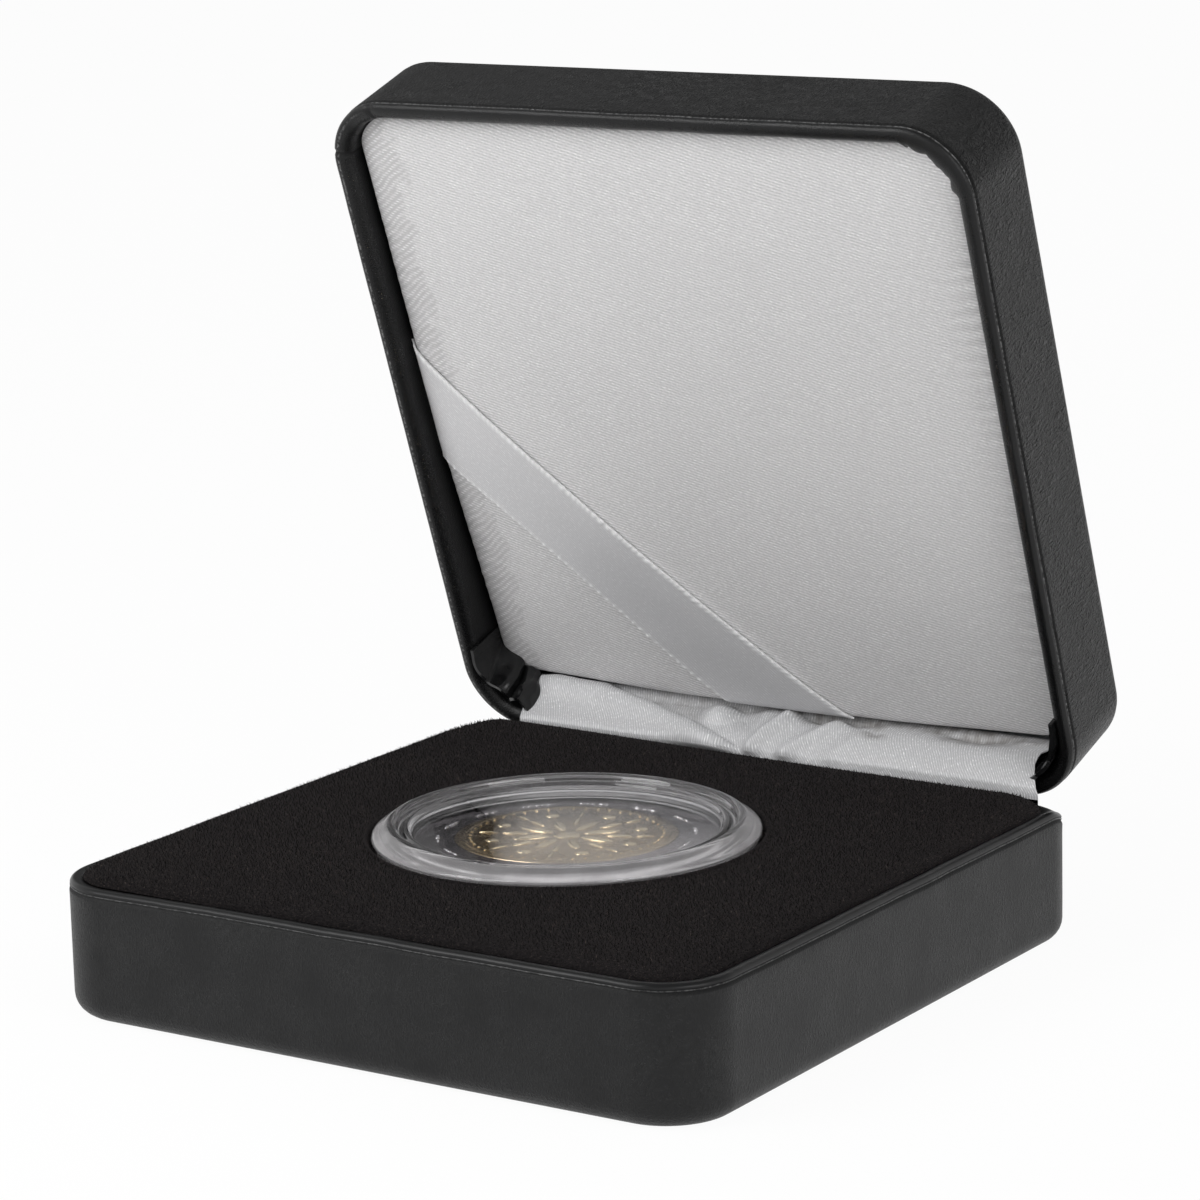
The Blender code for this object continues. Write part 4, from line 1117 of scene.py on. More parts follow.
@dataclass(frozen=True)
class VelourInsert:
    """Velour over a foam block, with a round well for the capsule."""

    well_radius: float = 16.12 * MM
    lip: float = 0.6 * MM
    edge_level: float = 11.26 * MM
    rise: float = 0.92 * MM
    well_bottom: float = 9.1 * MM
    cloth: float = 0.6 * MM
    crown: tuple[tuple[float, float], ...] = (
        (0.0, 0.0),
        (0.006, 0.20),
        (0.02, 0.38),
        (0.05, 0.58),
        (0.09, 0.72),
        (0.14, 0.82),
        (0.22, 0.90),
        (0.36, 0.96),
        (0.60, 1.0),
        (1.0, 1.0),
    )

    def spot(self, seat: Vector, share: float, under: float) -> Vector:
        """A point of the insert's top.

        Args:
            seat: The place on the insert's outline.
            share: How far from the outline to the well's lip.
            under: How deep under the face.

        Returns:
            The point.
        """
        lip_radius = self.well_radius + self.lip + under
        away = Vector((seat.x, seat.y - WELL_Y, 0.0)).normalized() * lip_radius
        start = INSERT_OUTLINE.drawn_in(seat, under)
        x = start[0] + (away.x - start[0]) * share
        y = start[1] + (WELL_Y + away.y - start[1]) * share
        flat = Vector((x, y, 0.0))
        level = self.edge_level + self.rise * through(self.crown, share)
        uneven = ripple(flat, 14.0 * MM, 4.0) + 0.4 * ripple(flat, 5.0 * MM, 2.0)
        level += 0.07 * MM * ease(share * 6.0) * uneven
        level += self.lift(x, y) * (1.0 - ease(share * 1.6 - 0.5))
        return Vector((x, y, level - under))

    def lift(self, x: float, y: float) -> float:
        """How far the foam stands up towards the hinge, more at its left."""
        left = 0.30 + 0.42 * ease((8.0 * MM - x) / (34.0 * MM))
        rear = ease((y - 14.0 * MM) / (10.0 * MM))
        return left * MM * rear * ease((29.6 * MM - abs(x)) / (4.0 * MM))

    def reach(self, angle: float) -> float:
        """Distance from the well's middle to the insert's outline in a direction."""
        near, far = 20.0 * MM, 45.0 * MM
        for _ in range(18):
            middle = (near + far) / 2.0
            x, y = middle * math.cos(angle), WELL_Y + middle * math.sin(angle)
            core_x, core_y = INSERT_OUTLINE.core(x, y)
            if math.hypot(x - core_x, y - core_y) < INSERT_OUTLINE.radius_at(y):
                near = middle
            else:
                far = middle
        return near

    def pile_share(self, reaches: Sequence[float], x: float, y: float) -> tuple[float, float]:
        """How far a place lies from the outline towards the well's lip.

        Args:
            reaches: The outline's distance from the well's middle, all round.
            x: The place's x.
            y: The place's y.

        Returns:
            Its share of the way, from 0 to 1, and its distance from the outline.
        """
        angle = math.atan2(y - WELL_Y, x) % (2.0 * math.pi)
        edge = reaches[int(angle / (2.0 * math.pi) * 720)]
        distance = math.hypot(x, y - WELL_Y)
        return (edge - distance) / (edge - self.well_radius - self.lip), edge - distance

    def build_pile(self) -> Object:
        """Stand short tapered fibres on the velour, each from one triangle of a grid."""
        bm = bmesh.new()
        bmesh.ops.create_grid(bm, x_segments=150, y_segments=150, size=30.0 * MM)
        bmesh.ops.translate(bm, vec=(0.0, WELL_Y, 0.0), verts=bm.verts[:])
        bmesh.ops.triangulate(bm, faces=bm.faces[:])
        bmesh.ops.split_edges(bm, edges=bm.edges[:])
        chance = random.Random(11)
        reaches = [self.reach(2.0 * math.pi * step / 720) for step in range(721)]
        bare = []
        for face in bm.faces:
            shift = Vector((chance.uniform(-0.1, 0.1), chance.uniform(-0.1, 0.1), 0.0)) * MM
            foot = face.calc_center_median() + shift
            share, room = self.pile_share(reaches, foot.x, foot.y)
            if room < 0.02 * MM or share > 1.04:
                bare.append(face)
                continue
            away = Vector((foot.x, foot.y - WELL_Y, 0.0)).normalized()
            middle = Vector((0.0, WELL_Y, 0.0))
            seat = middle + away * (room + (foot - middle).length)
            foot.z = self.spot(seat, min(share, 1.0), 0.0).z - 0.04 * MM
            foot.z -= 6.0 * MM * max(share - 1.0, 0.0)
            turn = chance.uniform(0.0, 2.0)
            for corner, vertex in enumerate(face.verts):
                angle = turn + 2.0 * math.pi * corner / 3.0
                vertex.co = foot + Vector((math.cos(angle), math.sin(angle), 0.0)) * 0.045 * MM
        bmesh.ops.delete(bm, geom=bare, context="FACES")
        tint = bm.verts.layers.float.new("tint")
        doubled = bmesh.ops.duplicate(bm, geom=bm.faces[:])["geom"]
        copies = [item for item in doubled if isinstance(item, BMFace)]
        for tip in bmesh.ops.poke(bm, faces=copies)["verts"]:
            share, room = self.pile_share(reaches, tip.co.x, tip.co.y)
            rear = ease((tip.co.y - 24.0 * MM) / (3.0 * MM))
            near = 1.0 - ease(room / (0.9 * MM))
            away = Vector((tip.co.x, tip.co.y - WELL_Y, 0.0)).normalized()
            lean = Vector((chance.gauss(0.0, 0.10), chance.gauss(-0.03, 0.10), 0.0))
            lean += away * (0.30 * near * (1.0 - rear) - 0.15 * ease((share - 0.93) / 0.07))
            height = chance.uniform(0.14, 0.36) * (1.0 - 0.35 * max(rear, near))
            tip.co += (lean + Vector((0.0, 0.0, height))) * MM
            tip[tint] = chance.random() ** 3.2
            for edge in tip.link_edges:
                edge.other_vert(tip)[tint] = 0.6 * tip[tint]
        bmesh.ops.remove_doubles(bm, verts=bm.verts[:], dist=0.0005 * MM)
        material = VelourPile("black_velour_fibres", loose=True).material()
        return make_piece("velour_fibres", bm, material, Body.BASE)

    def wall_spot(self, seat: Vector, inward: float, level: float) -> Vector:
        """A point of the well's wall."""
        away = Vector((seat.x, seat.y - WELL_Y, 0.0)).normalized() * (self.well_radius + inward)
        return Vector((away.x, WELL_Y + away.y, level))

    def skirt_spot(self, seat: Vector, inset: float, level: float) -> Vector:
        """A point of the insert's side, both measures in millimetres."""
        return Vector((*INSERT_OUTLINE.drawn_in(seat, inset * MM), level * MM))

    def shares(self) -> list[float]:
        """Where the rings of the top lie, close together at the edge."""
        edge = [0.0, 0.003, 0.008, 0.014, 0.022, 0.034, 0.05, 0.07, 0.095, 0.125]
        return edge + [0.16 + 0.035 * step for step in range(25)]

    def build_cover(self) -> Object:
        """Make the velour cover."""
        stack = RingStack(INSERT_OUTLINE)
        stack.settle(lambda seat: self.skirt_spot(seat, 0.65, 7.0))
        for inset, level in (
            (0.65, 8.5), (0.65, 9.8), (0.62, 10.35), (0.50, 10.75), (0.32, 11.02), (0.12, 11.18)
        ):
            stack.add(lambda seat, a=inset, b=level: self.skirt_spot(seat, a, b))
        for share in self.shares():
            stack.add(lambda seat, held=share: self.spot(seat, held, 0.0))
        top = self.edge_level + self.rise
        for across, up in arc((self.lip, top - self.lip * 0.75), self.lip, 90, 180, 6)[1:]:
            stack.add(lambda seat, a=across, b=up: self.wall_spot(seat, a, b))
        for level in (10.6, 9.8, self.well_bottom / MM):
            stack.add(lambda seat, held=level: self.wall_spot(seat, 0.0, held * MM))
        stack.add(lambda seat: self.wall_spot(seat, self.cloth, self.well_bottom))
        stack.add(lambda seat: self.wall_spot(seat, self.cloth, top - 1.4 * MM))
        for share in (1.0, 0.6, 0.3, 0.14, 0.05, 0.0):
            stack.add(lambda seat, held=share: self.spot(seat, held, self.cloth))
        stack.add(lambda seat: self.skirt_spot(seat, 1.15, 7.0))
        stack.join_ends()
        material = VelourPile("black_velour").material()
        piece = make_piece(
            "velour_cover", stack.bm, material, Body.BASE, ["velour_pad"], None, 70.0
        )
        return piece

    def build_foam(self) -> Object:
        """Make the foam block under the velour."""
        under = self.cloth + 0.2 * MM
        stack = RingStack(INSERT_OUTLINE, 10, 24)
        stack.settle(lambda seat: self.skirt_spot(seat, 1.35, 2.45))
        stack.add(lambda seat: self.skirt_spot(seat, 1.35, 9.4))
        for share in (0.05, 0.10, 0.2, 0.36, 0.6, 1.0):
            stack.add(lambda seat, held=share: self.spot(seat, held, under))
        for level in (10.9, 7.2):
            stack.add(lambda seat, held=level: self.wall_spot(seat, under, held * MM))
        stack.cap(stack.first)
        stack.cap(stack.ring)
        light, dark = (0.035, 0.034, 0.036), (0.008, 0.008, 0.009)
        material = Pulp("dark_foam_cells", light, dark, 2.4, 0.08 * MM).material()
        piece = make_piece("insert_foam", stack.bm, material, Body.BASE, ["base_foam"])
        return piece


@dataclass(frozen=True)
class SatinCushion:
    """Domed satin cushion of the lid, in the lid's own frame."""

    recess_front: float = 1.05 * MM
    recess_rear: float = 2.5 * MM
    rise: float = 1.25 * MM
    skirt: float = 1.9 * MM
    cloth: float = 0.35 * MM
    crown: tuple[tuple[float, float], ...] = (
        (0.0, 0.0),
        (0.004, 0.34),
        (0.012, 0.52),
        (0.024, 0.62),
        (0.045, 0.70),
        (0.08, 0.78),
        (0.13, 0.85),
        (0.22, 0.92),
        (0.38, 0.98),
        (0.70, 1.0),
        (1.0, 1.0),
    )

    def edge_level(self, y: float) -> float:
        """Level of the cushion's edge line."""
        share = (CUSHION_OUTLINE.rear - y) / (CUSHION_OUTLINE.rear - CUSHION_OUTLINE.front)
        recess = self.recess_front + (self.recess_rear - self.recess_front) * share
        return LID_HEIGHT - recess - self.rise

    def inward(self, x: float, y: float) -> float:
        """Share of the way from the cushion's edge to its middle."""
        across = CUSHION_OUTLINE.half_width - abs(x)
        half_depth = (CUSHION_OUTLINE.rear - CUSHION_OUTLINE.front) / 2.0
        along = half_depth - abs(y - CUSHION_OUTLINE.middle)
        soft = 3.0 * MM
        gap = max(soft - abs(across - along), 0.0) / soft
        nearest = min(across, along) - gap * gap * soft / 4.0
        return max(nearest, 0.0) / half_depth

    def face_level(self, x: float, y: float, taut: float = 0.0) -> float:
        """Level of the cushion's face, its puckers left out where it is taut."""
        inward = self.inward(x, y)
        flat = Vector((x, y, 0.0))
        level = self.edge_level(y) + self.rise * through(self.crown, inward)
        puckers = math.exp(-inward * 14.0) * ease(inward * 60.0)
        level += 0.09 * MM * puckers * ripple(flat, 1.8 * MM, 5.0)
        side = ease((abs(x) - 22.0 * MM) / (5.0 * MM)) * ease((22.0 * MM - abs(y)) / (4.0 * MM))
        wave = math.sin(y / MM * 4.4 + 2.0 * ripple(flat, 7.0 * MM, 3.0))
        level += 0.085 * MM * (1.0 - taut) * puckers * side * wave
        level += 0.05 * MM * ease(inward * 5.0) * ripple(flat, 11.0 * MM, 6.0)
        low_corner = ease((abs(x) - 8.0 * MM) / (22.0 * MM)) * ease((-y - 2.0 * MM) / (24.0 * MM))
        return level - 0.9 * MM * low_corner

    def build(self) -> Object:
        """Make the cushion's satin cover, closed at the back."""
        bm = bmesh.new()
        bmesh.ops.create_grid(bm, x_segments=150, y_segments=210, size=0.5)
        width = 2.0 * CUSHION_OUTLINE.half_width
        depth = CUSHION_OUTLINE.rear - CUSHION_OUTLINE.front
        for vertex in bm.verts:
            across, along = (
                math.sin(math.pi * part * 0.96) / math.sin(math.pi * 0.48) / 2.0
                for part in vertex.co[:2]
            )
            full = (across * width, CUSHION_OUTLINE.middle + along * depth)
            vertex.co = (*CUSHION_OUTLINE.pulled_in(*full), 0.0)
        rim = [e for e in bm.edges if e.is_boundary]
        for vertex in bm.verts:
            vertex.co.z = self.face_level(vertex.co.x, vertex.co.y)
        for drop, inward in ((0.5, 0.0), (1.0, 0.0), (1.0, self.cloth)):
            fresh, rim = extruded(bm, rim)
            for vertex in fresh:
                level = self.edge_level(vertex.co.y) - self.skirt * drop
                vertex.co = (*CUSHION_OUTLINE.scaled_in(vertex.co, inward), level)
        bmesh.ops.edgeloop_fill(bm, edges=rim)
        material = SatinWeave("cushion_satin", Cloth.LID_PLANE, puckered=True).material()
        piece = make_piece(
            "satin_cushion", bm, material, Body.LID, ["lid_satin"], LID_POSE, 60.0
        )
        return piece

    def build_foam(self) -> Object:
        """Make the white foam block behind the satin."""
        stack = RingStack(CUSHION_OUTLINE, 6, 20)
        back = 2.5 * MM
        stack.settle(lambda seat: Vector((*CUSHION_OUTLINE.scaled_in(seat, 0.7 * MM), back)))
        for inset, under in (
            (0.7, 2.2), (0.9, 1.4), (2.0, 0.9), (5.0, 0.7), (9.0, 0.6), (16.0, 0.6), (24.0, 0.6)
        ):
            stack.add(lambda seat, a=inset, b=under: self.foam_spot(seat, a * MM, b * MM))
        stack.cap(stack.first)
        stack.cap(stack.ring)
        light, dark = (0.82, 0.81, 0.79), (0.55, 0.54, 0.52)
        material = Pulp("white_foam_cells", light, dark, 2.2, 0.08 * MM).material()
        piece = make_piece(
            "cushion_foam", stack.bm, material, Body.LID, ["lid_foam"], LID_POSE
        )
        return piece

    def foam_spot(self, seat: Vector, inset: float, under: float) -> Vector:
        """A point of the foam block's face, under the satin."""
        x, y = CUSHION_OUTLINE.scaled_in(seat, inset)
        return Vector((x, y, max(self.face_level(x, y) - under, 2.6 * MM)))


@dataclass(frozen=True)
class DiagonalRibbon:
    """Satin ribbon stretched over a corner of the cushion, its edges turned under."""

    cushion: SatinCushion
    upper: tuple[tuple[float, float], ...] = ((-29.6, 7.5), (-11.4, -10.35), (8.2, -27.2))
    lower: tuple[tuple[float, float], ...] = ((-29.6, -3.9), (-17.6, -14.7), (-4.6, -27.2))
    hem: float = 0.9 * MM
    gap: float = 0.16 * MM
    cloth: float = 0.16 * MM
    length: float = 50.0 * MM
    width: float = 10.0 * MM
    cut_area: float = 0.000430

    def bend(self, points: Sequence[tuple[float, float]], share: float) -> tuple[float, float]:
        """A place on one edge, in metres, from three places that it passes through."""
        first, middle, last = points
        a = 2.0 * (share - 0.5) * (share - 1.0)
        b = -4.0 * share * (share - 1.0)
        c = 2.0 * share * (share - 0.5)
        return tuple(MM * (a * first[i] + b * middle[i] + c * last[i]) for i in range(2))

    def build(self) -> Object:
        """Make the ribbon."""
        length, width = self.length, self.width
        bm = cloth_grid(length, width, 240, 64)
        hem_share = self.hem / width
        edged, sheen_shade = (bm.verts.layers.float.new(name) for name in ("edged", "sheen_shade"))
        for vertex in bm.verts:
            share = vertex.co.x / length + 0.5
            across = vertex.co.y / width + 0.5
            folded = across < hem_share or across > 1.0 - hem_share
            top = min(max(across, hem_share), 1.0 - hem_share)
            if folded:
                top = 2.0 * top - across
            spot = (top - hem_share) / (1.0 - 2.0 * hem_share)
            start, end = self.bend(self.lower, share), self.bend(self.upper, share)
            x = start[0] + (end[0] - start[0]) * spot
            y = start[1] + (end[1] - start[1]) * spot
            level = self.cushion.face_level(x, y, 1.0) + self.gap
            level += 0.05 * MM if folded else 0.20 * MM
            beads = 0.55 + 0.45 * math.sin(share * 480.0 + 2.0 * math.sin(share * 61.0))
            stitches = ease(math.sin(share * 270.0 + math.sin(share * 37.0)) * 2.0 - 0.9)
            over, below = hump(spot, 0.985, 0.045), hump(spot, 0.0, 0.030)
            vertex[edged] = min(1.0, over * (0.70 + 0.30 * beads) + below * (0.35 + 0.65 * stitches))
            # Painted shade: darker from the left end onwards and towards the middle of the ribbon.
            vertex[sheen_shade] = ease((share - 0.08) / 0.6) * (0.45 + 0.55 * hump(spot, 0.5, 0.45))
            if not folded:
                level += MM * (0.16 * over * beads + 0.07 * below * stitches)
            vertex.co = (x, y, level)
        bmesh.ops.solidify(bm, geom=bm.faces[:], thickness=self.cloth * 0.35)
        material = SatinWeave(
            "ribbon_satin",
            Cloth.OWN_CUT,
            tone=(0.68, 0.675, 0.685),
            dip=(0.58, 0.575, 0.585),
            twill=(0.35, 4.2),
            floats=(0.9, 1.1),
            depth=0.008 * MM,
            gloss=0.34,
            uneven=0.35,
            edged=True,
        ).material()
        piece = make_piece(
            "diagonal_ribbon", bm, material, Body.LID, ["lid_ribbon"], LID_POSE, 70.0
        )
        return piece


@dataclass(frozen=True)
class HingeStrip:
    """Gathered satin strip that hides the hinge, from behind the insert to the cushion.

    Its gathers are given in millimetres across the case, and as a share of the
    strip's visible width, from 0 at the insert to 1 at the cushion.
    """

    length: float = 54.9 * MM
    gathering: float = 1.10
    left_end: tuple[tuple[float, float], ...] = (
        (-0.6, -24.3), (0.0, -24.7), (0.5, -25.6), (1.0, -26.6), (1.3, -26.8)
    )
    cloth: float = 0.12 * MM
    path: tuple[tuple[float, float], ...] = (
        (28.05, 8.4),
        (28.05, 11.9),
        (28.25, 12.5),
        (29.3, 13.3),
        (30.8, 14.3),
        (32.2, 15.1),
        (33.4, 15.3),
    )
    right_end: tuple[tuple[float, float], ...] = (
        (-0.6, 27.9), (0.0, 27.9), (0.3, 27.1), (0.55, 26.6), (0.8, 26.5), (0.95, 27.1), (1.3, 27.7)
    )
    fold: tuple[tuple[float, float], ...] = (
        (-30.0, 1.15), (-18.0, 1.0), (-11.6, 0.70), (-7.9, 0.48), (-2.0, 0.05), (1.0, -0.4), (30.0, -0.4)
    )
    ridges: tuple[tuple[float, float, float, float, float, float], ...] = (
        (-0.4, 0.15, 1.4, 0.90, 0.80, 0.75),
        (3.0, 0.12, 6.8, 0.88, 0.85, 0.62),
        (7.7, 0.20, 9.6, 0.62, 0.90, 0.20),
    )
    hollows: tuple[tuple[float, float, float, float, float], ...] = (
        (4.3, 1.02, 1.9, 0.15, 1.0),
        (8.2, 1.00, 1.9, 0.11, 0.9),
        (10.6, 0.76, 1.0, 0.12, 0.3),
        (19.6, 1.00, 3.4, 0.17, 0.8),
    )

    def swell(self, x: float, up: float) -> float:
        """How far the strip stands out from its resting line, in metres."""
        fold = through(self.fold, x)
        left = ease((-0.8 - x) / 3.0)
        height = left * (0.85 * hump(up, fold - 0.16, 0.22) + 0.40 * hump(up, 0.06, 0.24))
        lobe = math.exp(-(((x + 5.6) / 2.3) ** 2) - ((up - 0.78) / 0.36) ** 2)
        height -= 1.4 * left * ease((up - fold) / 0.16) * ease((x + 19.0) / 3.0) * (1.0 - lobe)
        height += 0.45 * lobe
        for x_start, up_start, x_end, up_end, width, tall in self.ridges:
            run = Vector((x_end - x_start, (up_end - up_start) * 5.0))
            here = Vector((x - x_start, (up - up_start) * 5.0))
            held = min(max(here.dot(run) / run.length_squared, 0.0), 1.0)
            height += tall * math.exp(-((here - run * held).length / width) ** 2)
        for centre, level, width, tall, depth in self.hollows:
            height -= depth * hump(x, centre, width) * hump(up, level, tall)
        height += 0.45 * hump(x, 13.5, 5.0) * math.sin(math.pi * min(max(up, 0.0), 1.0))
        height += 0.55 * hump(x, 22.5, 4.5) * hump(up, 0.50, 0.36)
        spot = Vector((x, up * 5.0, 0.0))
        height += (0.06 * ripple(spot, 3.0, 3.0) + 0.03 * ripple(spot, 1.1, 8.0)) * ease(up * 4.0 - 0.2)
        height *= 0.45 + 0.55 * ease((x + 26.2) / 3.0)
        return max(height, -0.12 - 0.72 * ease((up - 0.35) / 0.6)) * MM

    def build(self) -> Object:
        """Make the strip, laid from the base to the lid."""
        stations = [Vector(p) * MM for p in self.path]
        runs = [0.0]
        for before, after in zip(stations, stations[1:]):
            runs.append(runs[-1] + (after - before).length)
        width = runs[-1]
        cut_length = self.length * self.gathering
        bm = cloth_grid(cut_length, width, 330, 60)
        soil_and_shade = bm.verts.layers.float.new("soil_and_shade")
        for vertex in bm.verts:
            along = vertex.co.x / cut_length + 0.5
            run = (vertex.co.y / width + 0.5) * width
            index = max(i for i, reach in enumerate(runs[:-1]) if reach <= run + 1e-9)
            share = (run - runs[index]) / (runs[index + 1] - runs[index])
            spot = stations[index].lerp(stations[index + 1], share)
            heading = (stations[index + 1] - stations[index]).normalized()
            up = (run - runs[1]) / (runs[-2] - runs[1])
            start = through(self.left_end, up)
            x = start + (through(self.right_end, up) - start) * along
            free = ease((up + 0.04) / 0.14) * ease((1.22 - up) / 0.2)
            out = Vector((-heading.y, heading.x)) * self.swell(x, up) * free
            shift = 0.30 * free * ripple(Vector((x, up * 5.0, 0.0)), 3.0, 11.0)
            shift *= ease((26.0 - x) / 3.0)
            # The darkening mark: painted shade in the hollows, under the cushion's edge and in the cavity
            # behind the fold, with some soiling.
            marks = sum(hump(x, c, w * 1.2) * hump(up, u, t * 1.3) for c, u, w, t, _ in self.hollows)
            hollow = ease((up - through(self.fold, x)) / 0.2)
            hollow *= ease((x + 16.0) / 3.0) * ease((-5.5 - x) / 3.0)
            behind = ease((up - 0.9) / 0.1) * ease((x + 8.0) / 6.0)
            vertex[soil_and_shade] = min(1.0, marks + 0.5 * behind + 0.35 * hollow)
            vertex.co = ((x + shift) * MM, spot.x + out.x, spot.y + out.y)
        bmesh.ops.solidify(bm, geom=bm.faces[:], thickness=self.cloth)
        material = SatinWeave(
            "strip_satin",
            Cloth.OWN_CUT,
            tone=(0.60, 0.60, 0.61),
            dip=(0.44, 0.44, 0.45),
            twill=(3.40, 1.20),
            floats=(-0.80, 2.70),
            depth=0.020 * MM,
            gloss=0.36,
            soil_and_shade_share=0.75,
        ).material()
        piece = make_piece(
            "gathered_strip", bm, material, None, ["hinge_strip"], None, 75.0
        )
        start, end = (0.0, 28.1 * MM, 12.0 * MM), (0.0, 32.2 * MM, 15.3 * MM)
        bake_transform(piece)
        return piece


@dataclass(frozen=True)
class SnapHinge:
    """Rolled leaves, pin, rivets and the two flat springs of the hinge."""

    spring_half: float = 3.0 * MM
    spring_middle: float = 5.95 * MM
    spring_cloth: float = 0.25 * MM
    reach: float = 3.6 * MM
    bend_radius: float = 0.625 * MM

    def build(self) -> None:
        """Dress the leaves, pin and rivets, and make the springs."""
        light, dark = (0.74, 0.73, 0.70), (0.60, 0.59, 0.56)
        plated = Metal("nickel_plate", light, dark, 0.24, stretch=(0.1, 1.0, 1.0)).material()
        for node in ("hinge_leaf_base", "hinge_leaf_lid", "hinge_pin"):
            dress(node, plated)
        for side in ("left", "right"):
            for half in ("base", "lid"):
                dress(f"hinge_rivet_{half}_{side}", plated)
        light, dark = (0.42, 0.43, 0.46), (0.30, 0.31, 0.34)
        steel = Metal("blued_spring_steel", light, dark, 0.30, stretch=(1.0, 0.1, 0.1)).material()
        for side, sign in (("left", -1.0), ("right", 1.0)):
            self.build_spring(side, sign, steel)

    def build_spring(self, side: str, sign: float, material: Material) -> Object:
        """Make one flat spring, bent over the pin from one leaf to the other.

        Args:
            side: left or right.
            sign: -1 for the left, 1 for the right.
            material: Its finish.

        Returns:
            The spring.
        """
        bm = bmesh.new()
        bmesh.ops.create_grid(bm, x_segments=6, y_segments=28, size=0.5)
        bend = self.bend_radius * LID_OPEN
        total = 2.0 * self.reach + bend
        for vertex in bm.verts:
            run = (vertex.co.y + 0.5) * total
            x = sign * self.spring_middle + vertex.co.x * 2.0 * self.spring_half
            if run < self.reach:
                spot = Vector((-self.bend_radius, run - self.reach))
            elif run < self.reach + bend:
                angle = math.pi - (run - self.reach) / self.bend_radius
                spot = Vector((math.cos(angle), math.sin(angle))) * self.bend_radius
            else:
                angle = math.pi - LID_OPEN
                start = Vector((math.cos(angle), math.sin(angle))) * self.bend_radius
                heading = Vector((math.sin(LID_OPEN), math.cos(LID_OPEN)))
                spot = start + heading * (run - self.reach - bend)
            vertex.co = (x, HINGE_Y + spot.x, HINGE_Z + spot.y)
        bmesh.ops.solidify(bm, geom=bm.faces[:], thickness=self.spring_cloth)
        node = f"snap_spring_{side}"
        piece = make_piece(f"bent_spring_{side}", bm, material, None, [node])
        start = (0.0, HINGE_Y - 0.63 * MM, HINGE_Z)
        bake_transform(piece)
        return piece


@dataclass(frozen=True)
class CoinCapsule:
    """Clear round capsule in two halves."""

    radius: float = 16.0 * MM
    bottom: float = CAPSULE_BOTTOM
    lip_start: float = 14.7 * MM
    centre: tuple[float, float] = (0.0, WELL_Y)

    def upper_section(self) -> list[tuple[float, float]]:
        """Section of the top half: window, ringed shoulder, sloping lip and skirt."""
        top = [
            (0.0, 5.10),
            (6.0, 5.10),
            (12.55, 5.10),
            (12.68, 5.13),
            (12.80, 5.24),
            (12.88, 5.42),
            (12.98, 5.52),
            (13.12, 5.55),
            (13.26, 5.52),
            (13.36, 5.43),
            (13.46, 5.30),
            (13.60, 5.24),
            (13.74, 5.28),
            (13.84, 5.42),
            (13.92, 5.66),
            (14.02, 5.82),
            (14.18, 5.89),
            (14.42, 5.90),
            (14.66, 5.86),
            (14.86, 5.76),
            (15.10, 5.58),
            (15.40, 5.36),
            (15.66, 5.19),
            (15.84, 5.06),
            (15.95, 4.92),
            (16.0, 4.76),
            (15.98, 4.60),
            (15.90, 4.52),
            (15.75, 4.50),
            (15.70, 4.44),
            (15.70, 2.74),
            (15.66, 2.70),
            (15.04, 2.70),
            (15.00, 2.74),
            (15.00, 4.16),
            (14.92, 4.28),
            (14.78, 4.30),
            (12.70, 4.30),
            (0.0, 4.30),
        ]
        return [(r * MM, self.bottom + z * MM) for r, z in top]

    def lower_section(self) -> list[tuple[float, float]]:
        """Section of the bottom half: a dish with a foot ring."""
        low = [
            (0.0, 1.60),
            (12.80, 1.60),
            (13.00, 1.64),
            (13.095, 1.76),
            (13.095, 4.05),
            (13.18, 4.13),
            (14.76, 4.13),
            (14.85, 4.05),
            (14.85, 0.44),
            (14.78, 0.20),
            (14.60, 0.06),
            (14.40, 0.0),
            (12.40, 0.0),
            (12.20, 0.06),
            (12.05, 0.30),
            (11.90, 0.66),
            (11.70, 0.80),
            (0.0, 0.80),
        ]
        return [(r * MM, self.bottom + z * MM) for r, z in low]

    def build(self) -> None:
        """Make both halves."""
        clear = ClearPlastic("clear_capsule").material()
        tint = (0.74, 0.72, 0.735)
        milky = ClearPlastic("milky_capsule_lip", tint, 0.72, (0.12, 0.26), 0.70).material()
        for name, node, section in (
            ("capsule_lid", "capsule_top", self.upper_section()),
            ("capsule_dish", "capsule_bottom", self.lower_section()),
        ):
            bm = spun(section, self.centre, 160)
            for face in bm.faces:
                middle = face.calc_center_median() - Vector((*self.centre, 0.0))
                on_lip = name == "capsule_lid" and middle.xy.length > self.lip_start
                face.material_index = int(on_lip)
            piece = make_piece(name, bm, clear, Body.CAPSULE, [node], None, 50.0)
            piece.data.materials.append(milky)


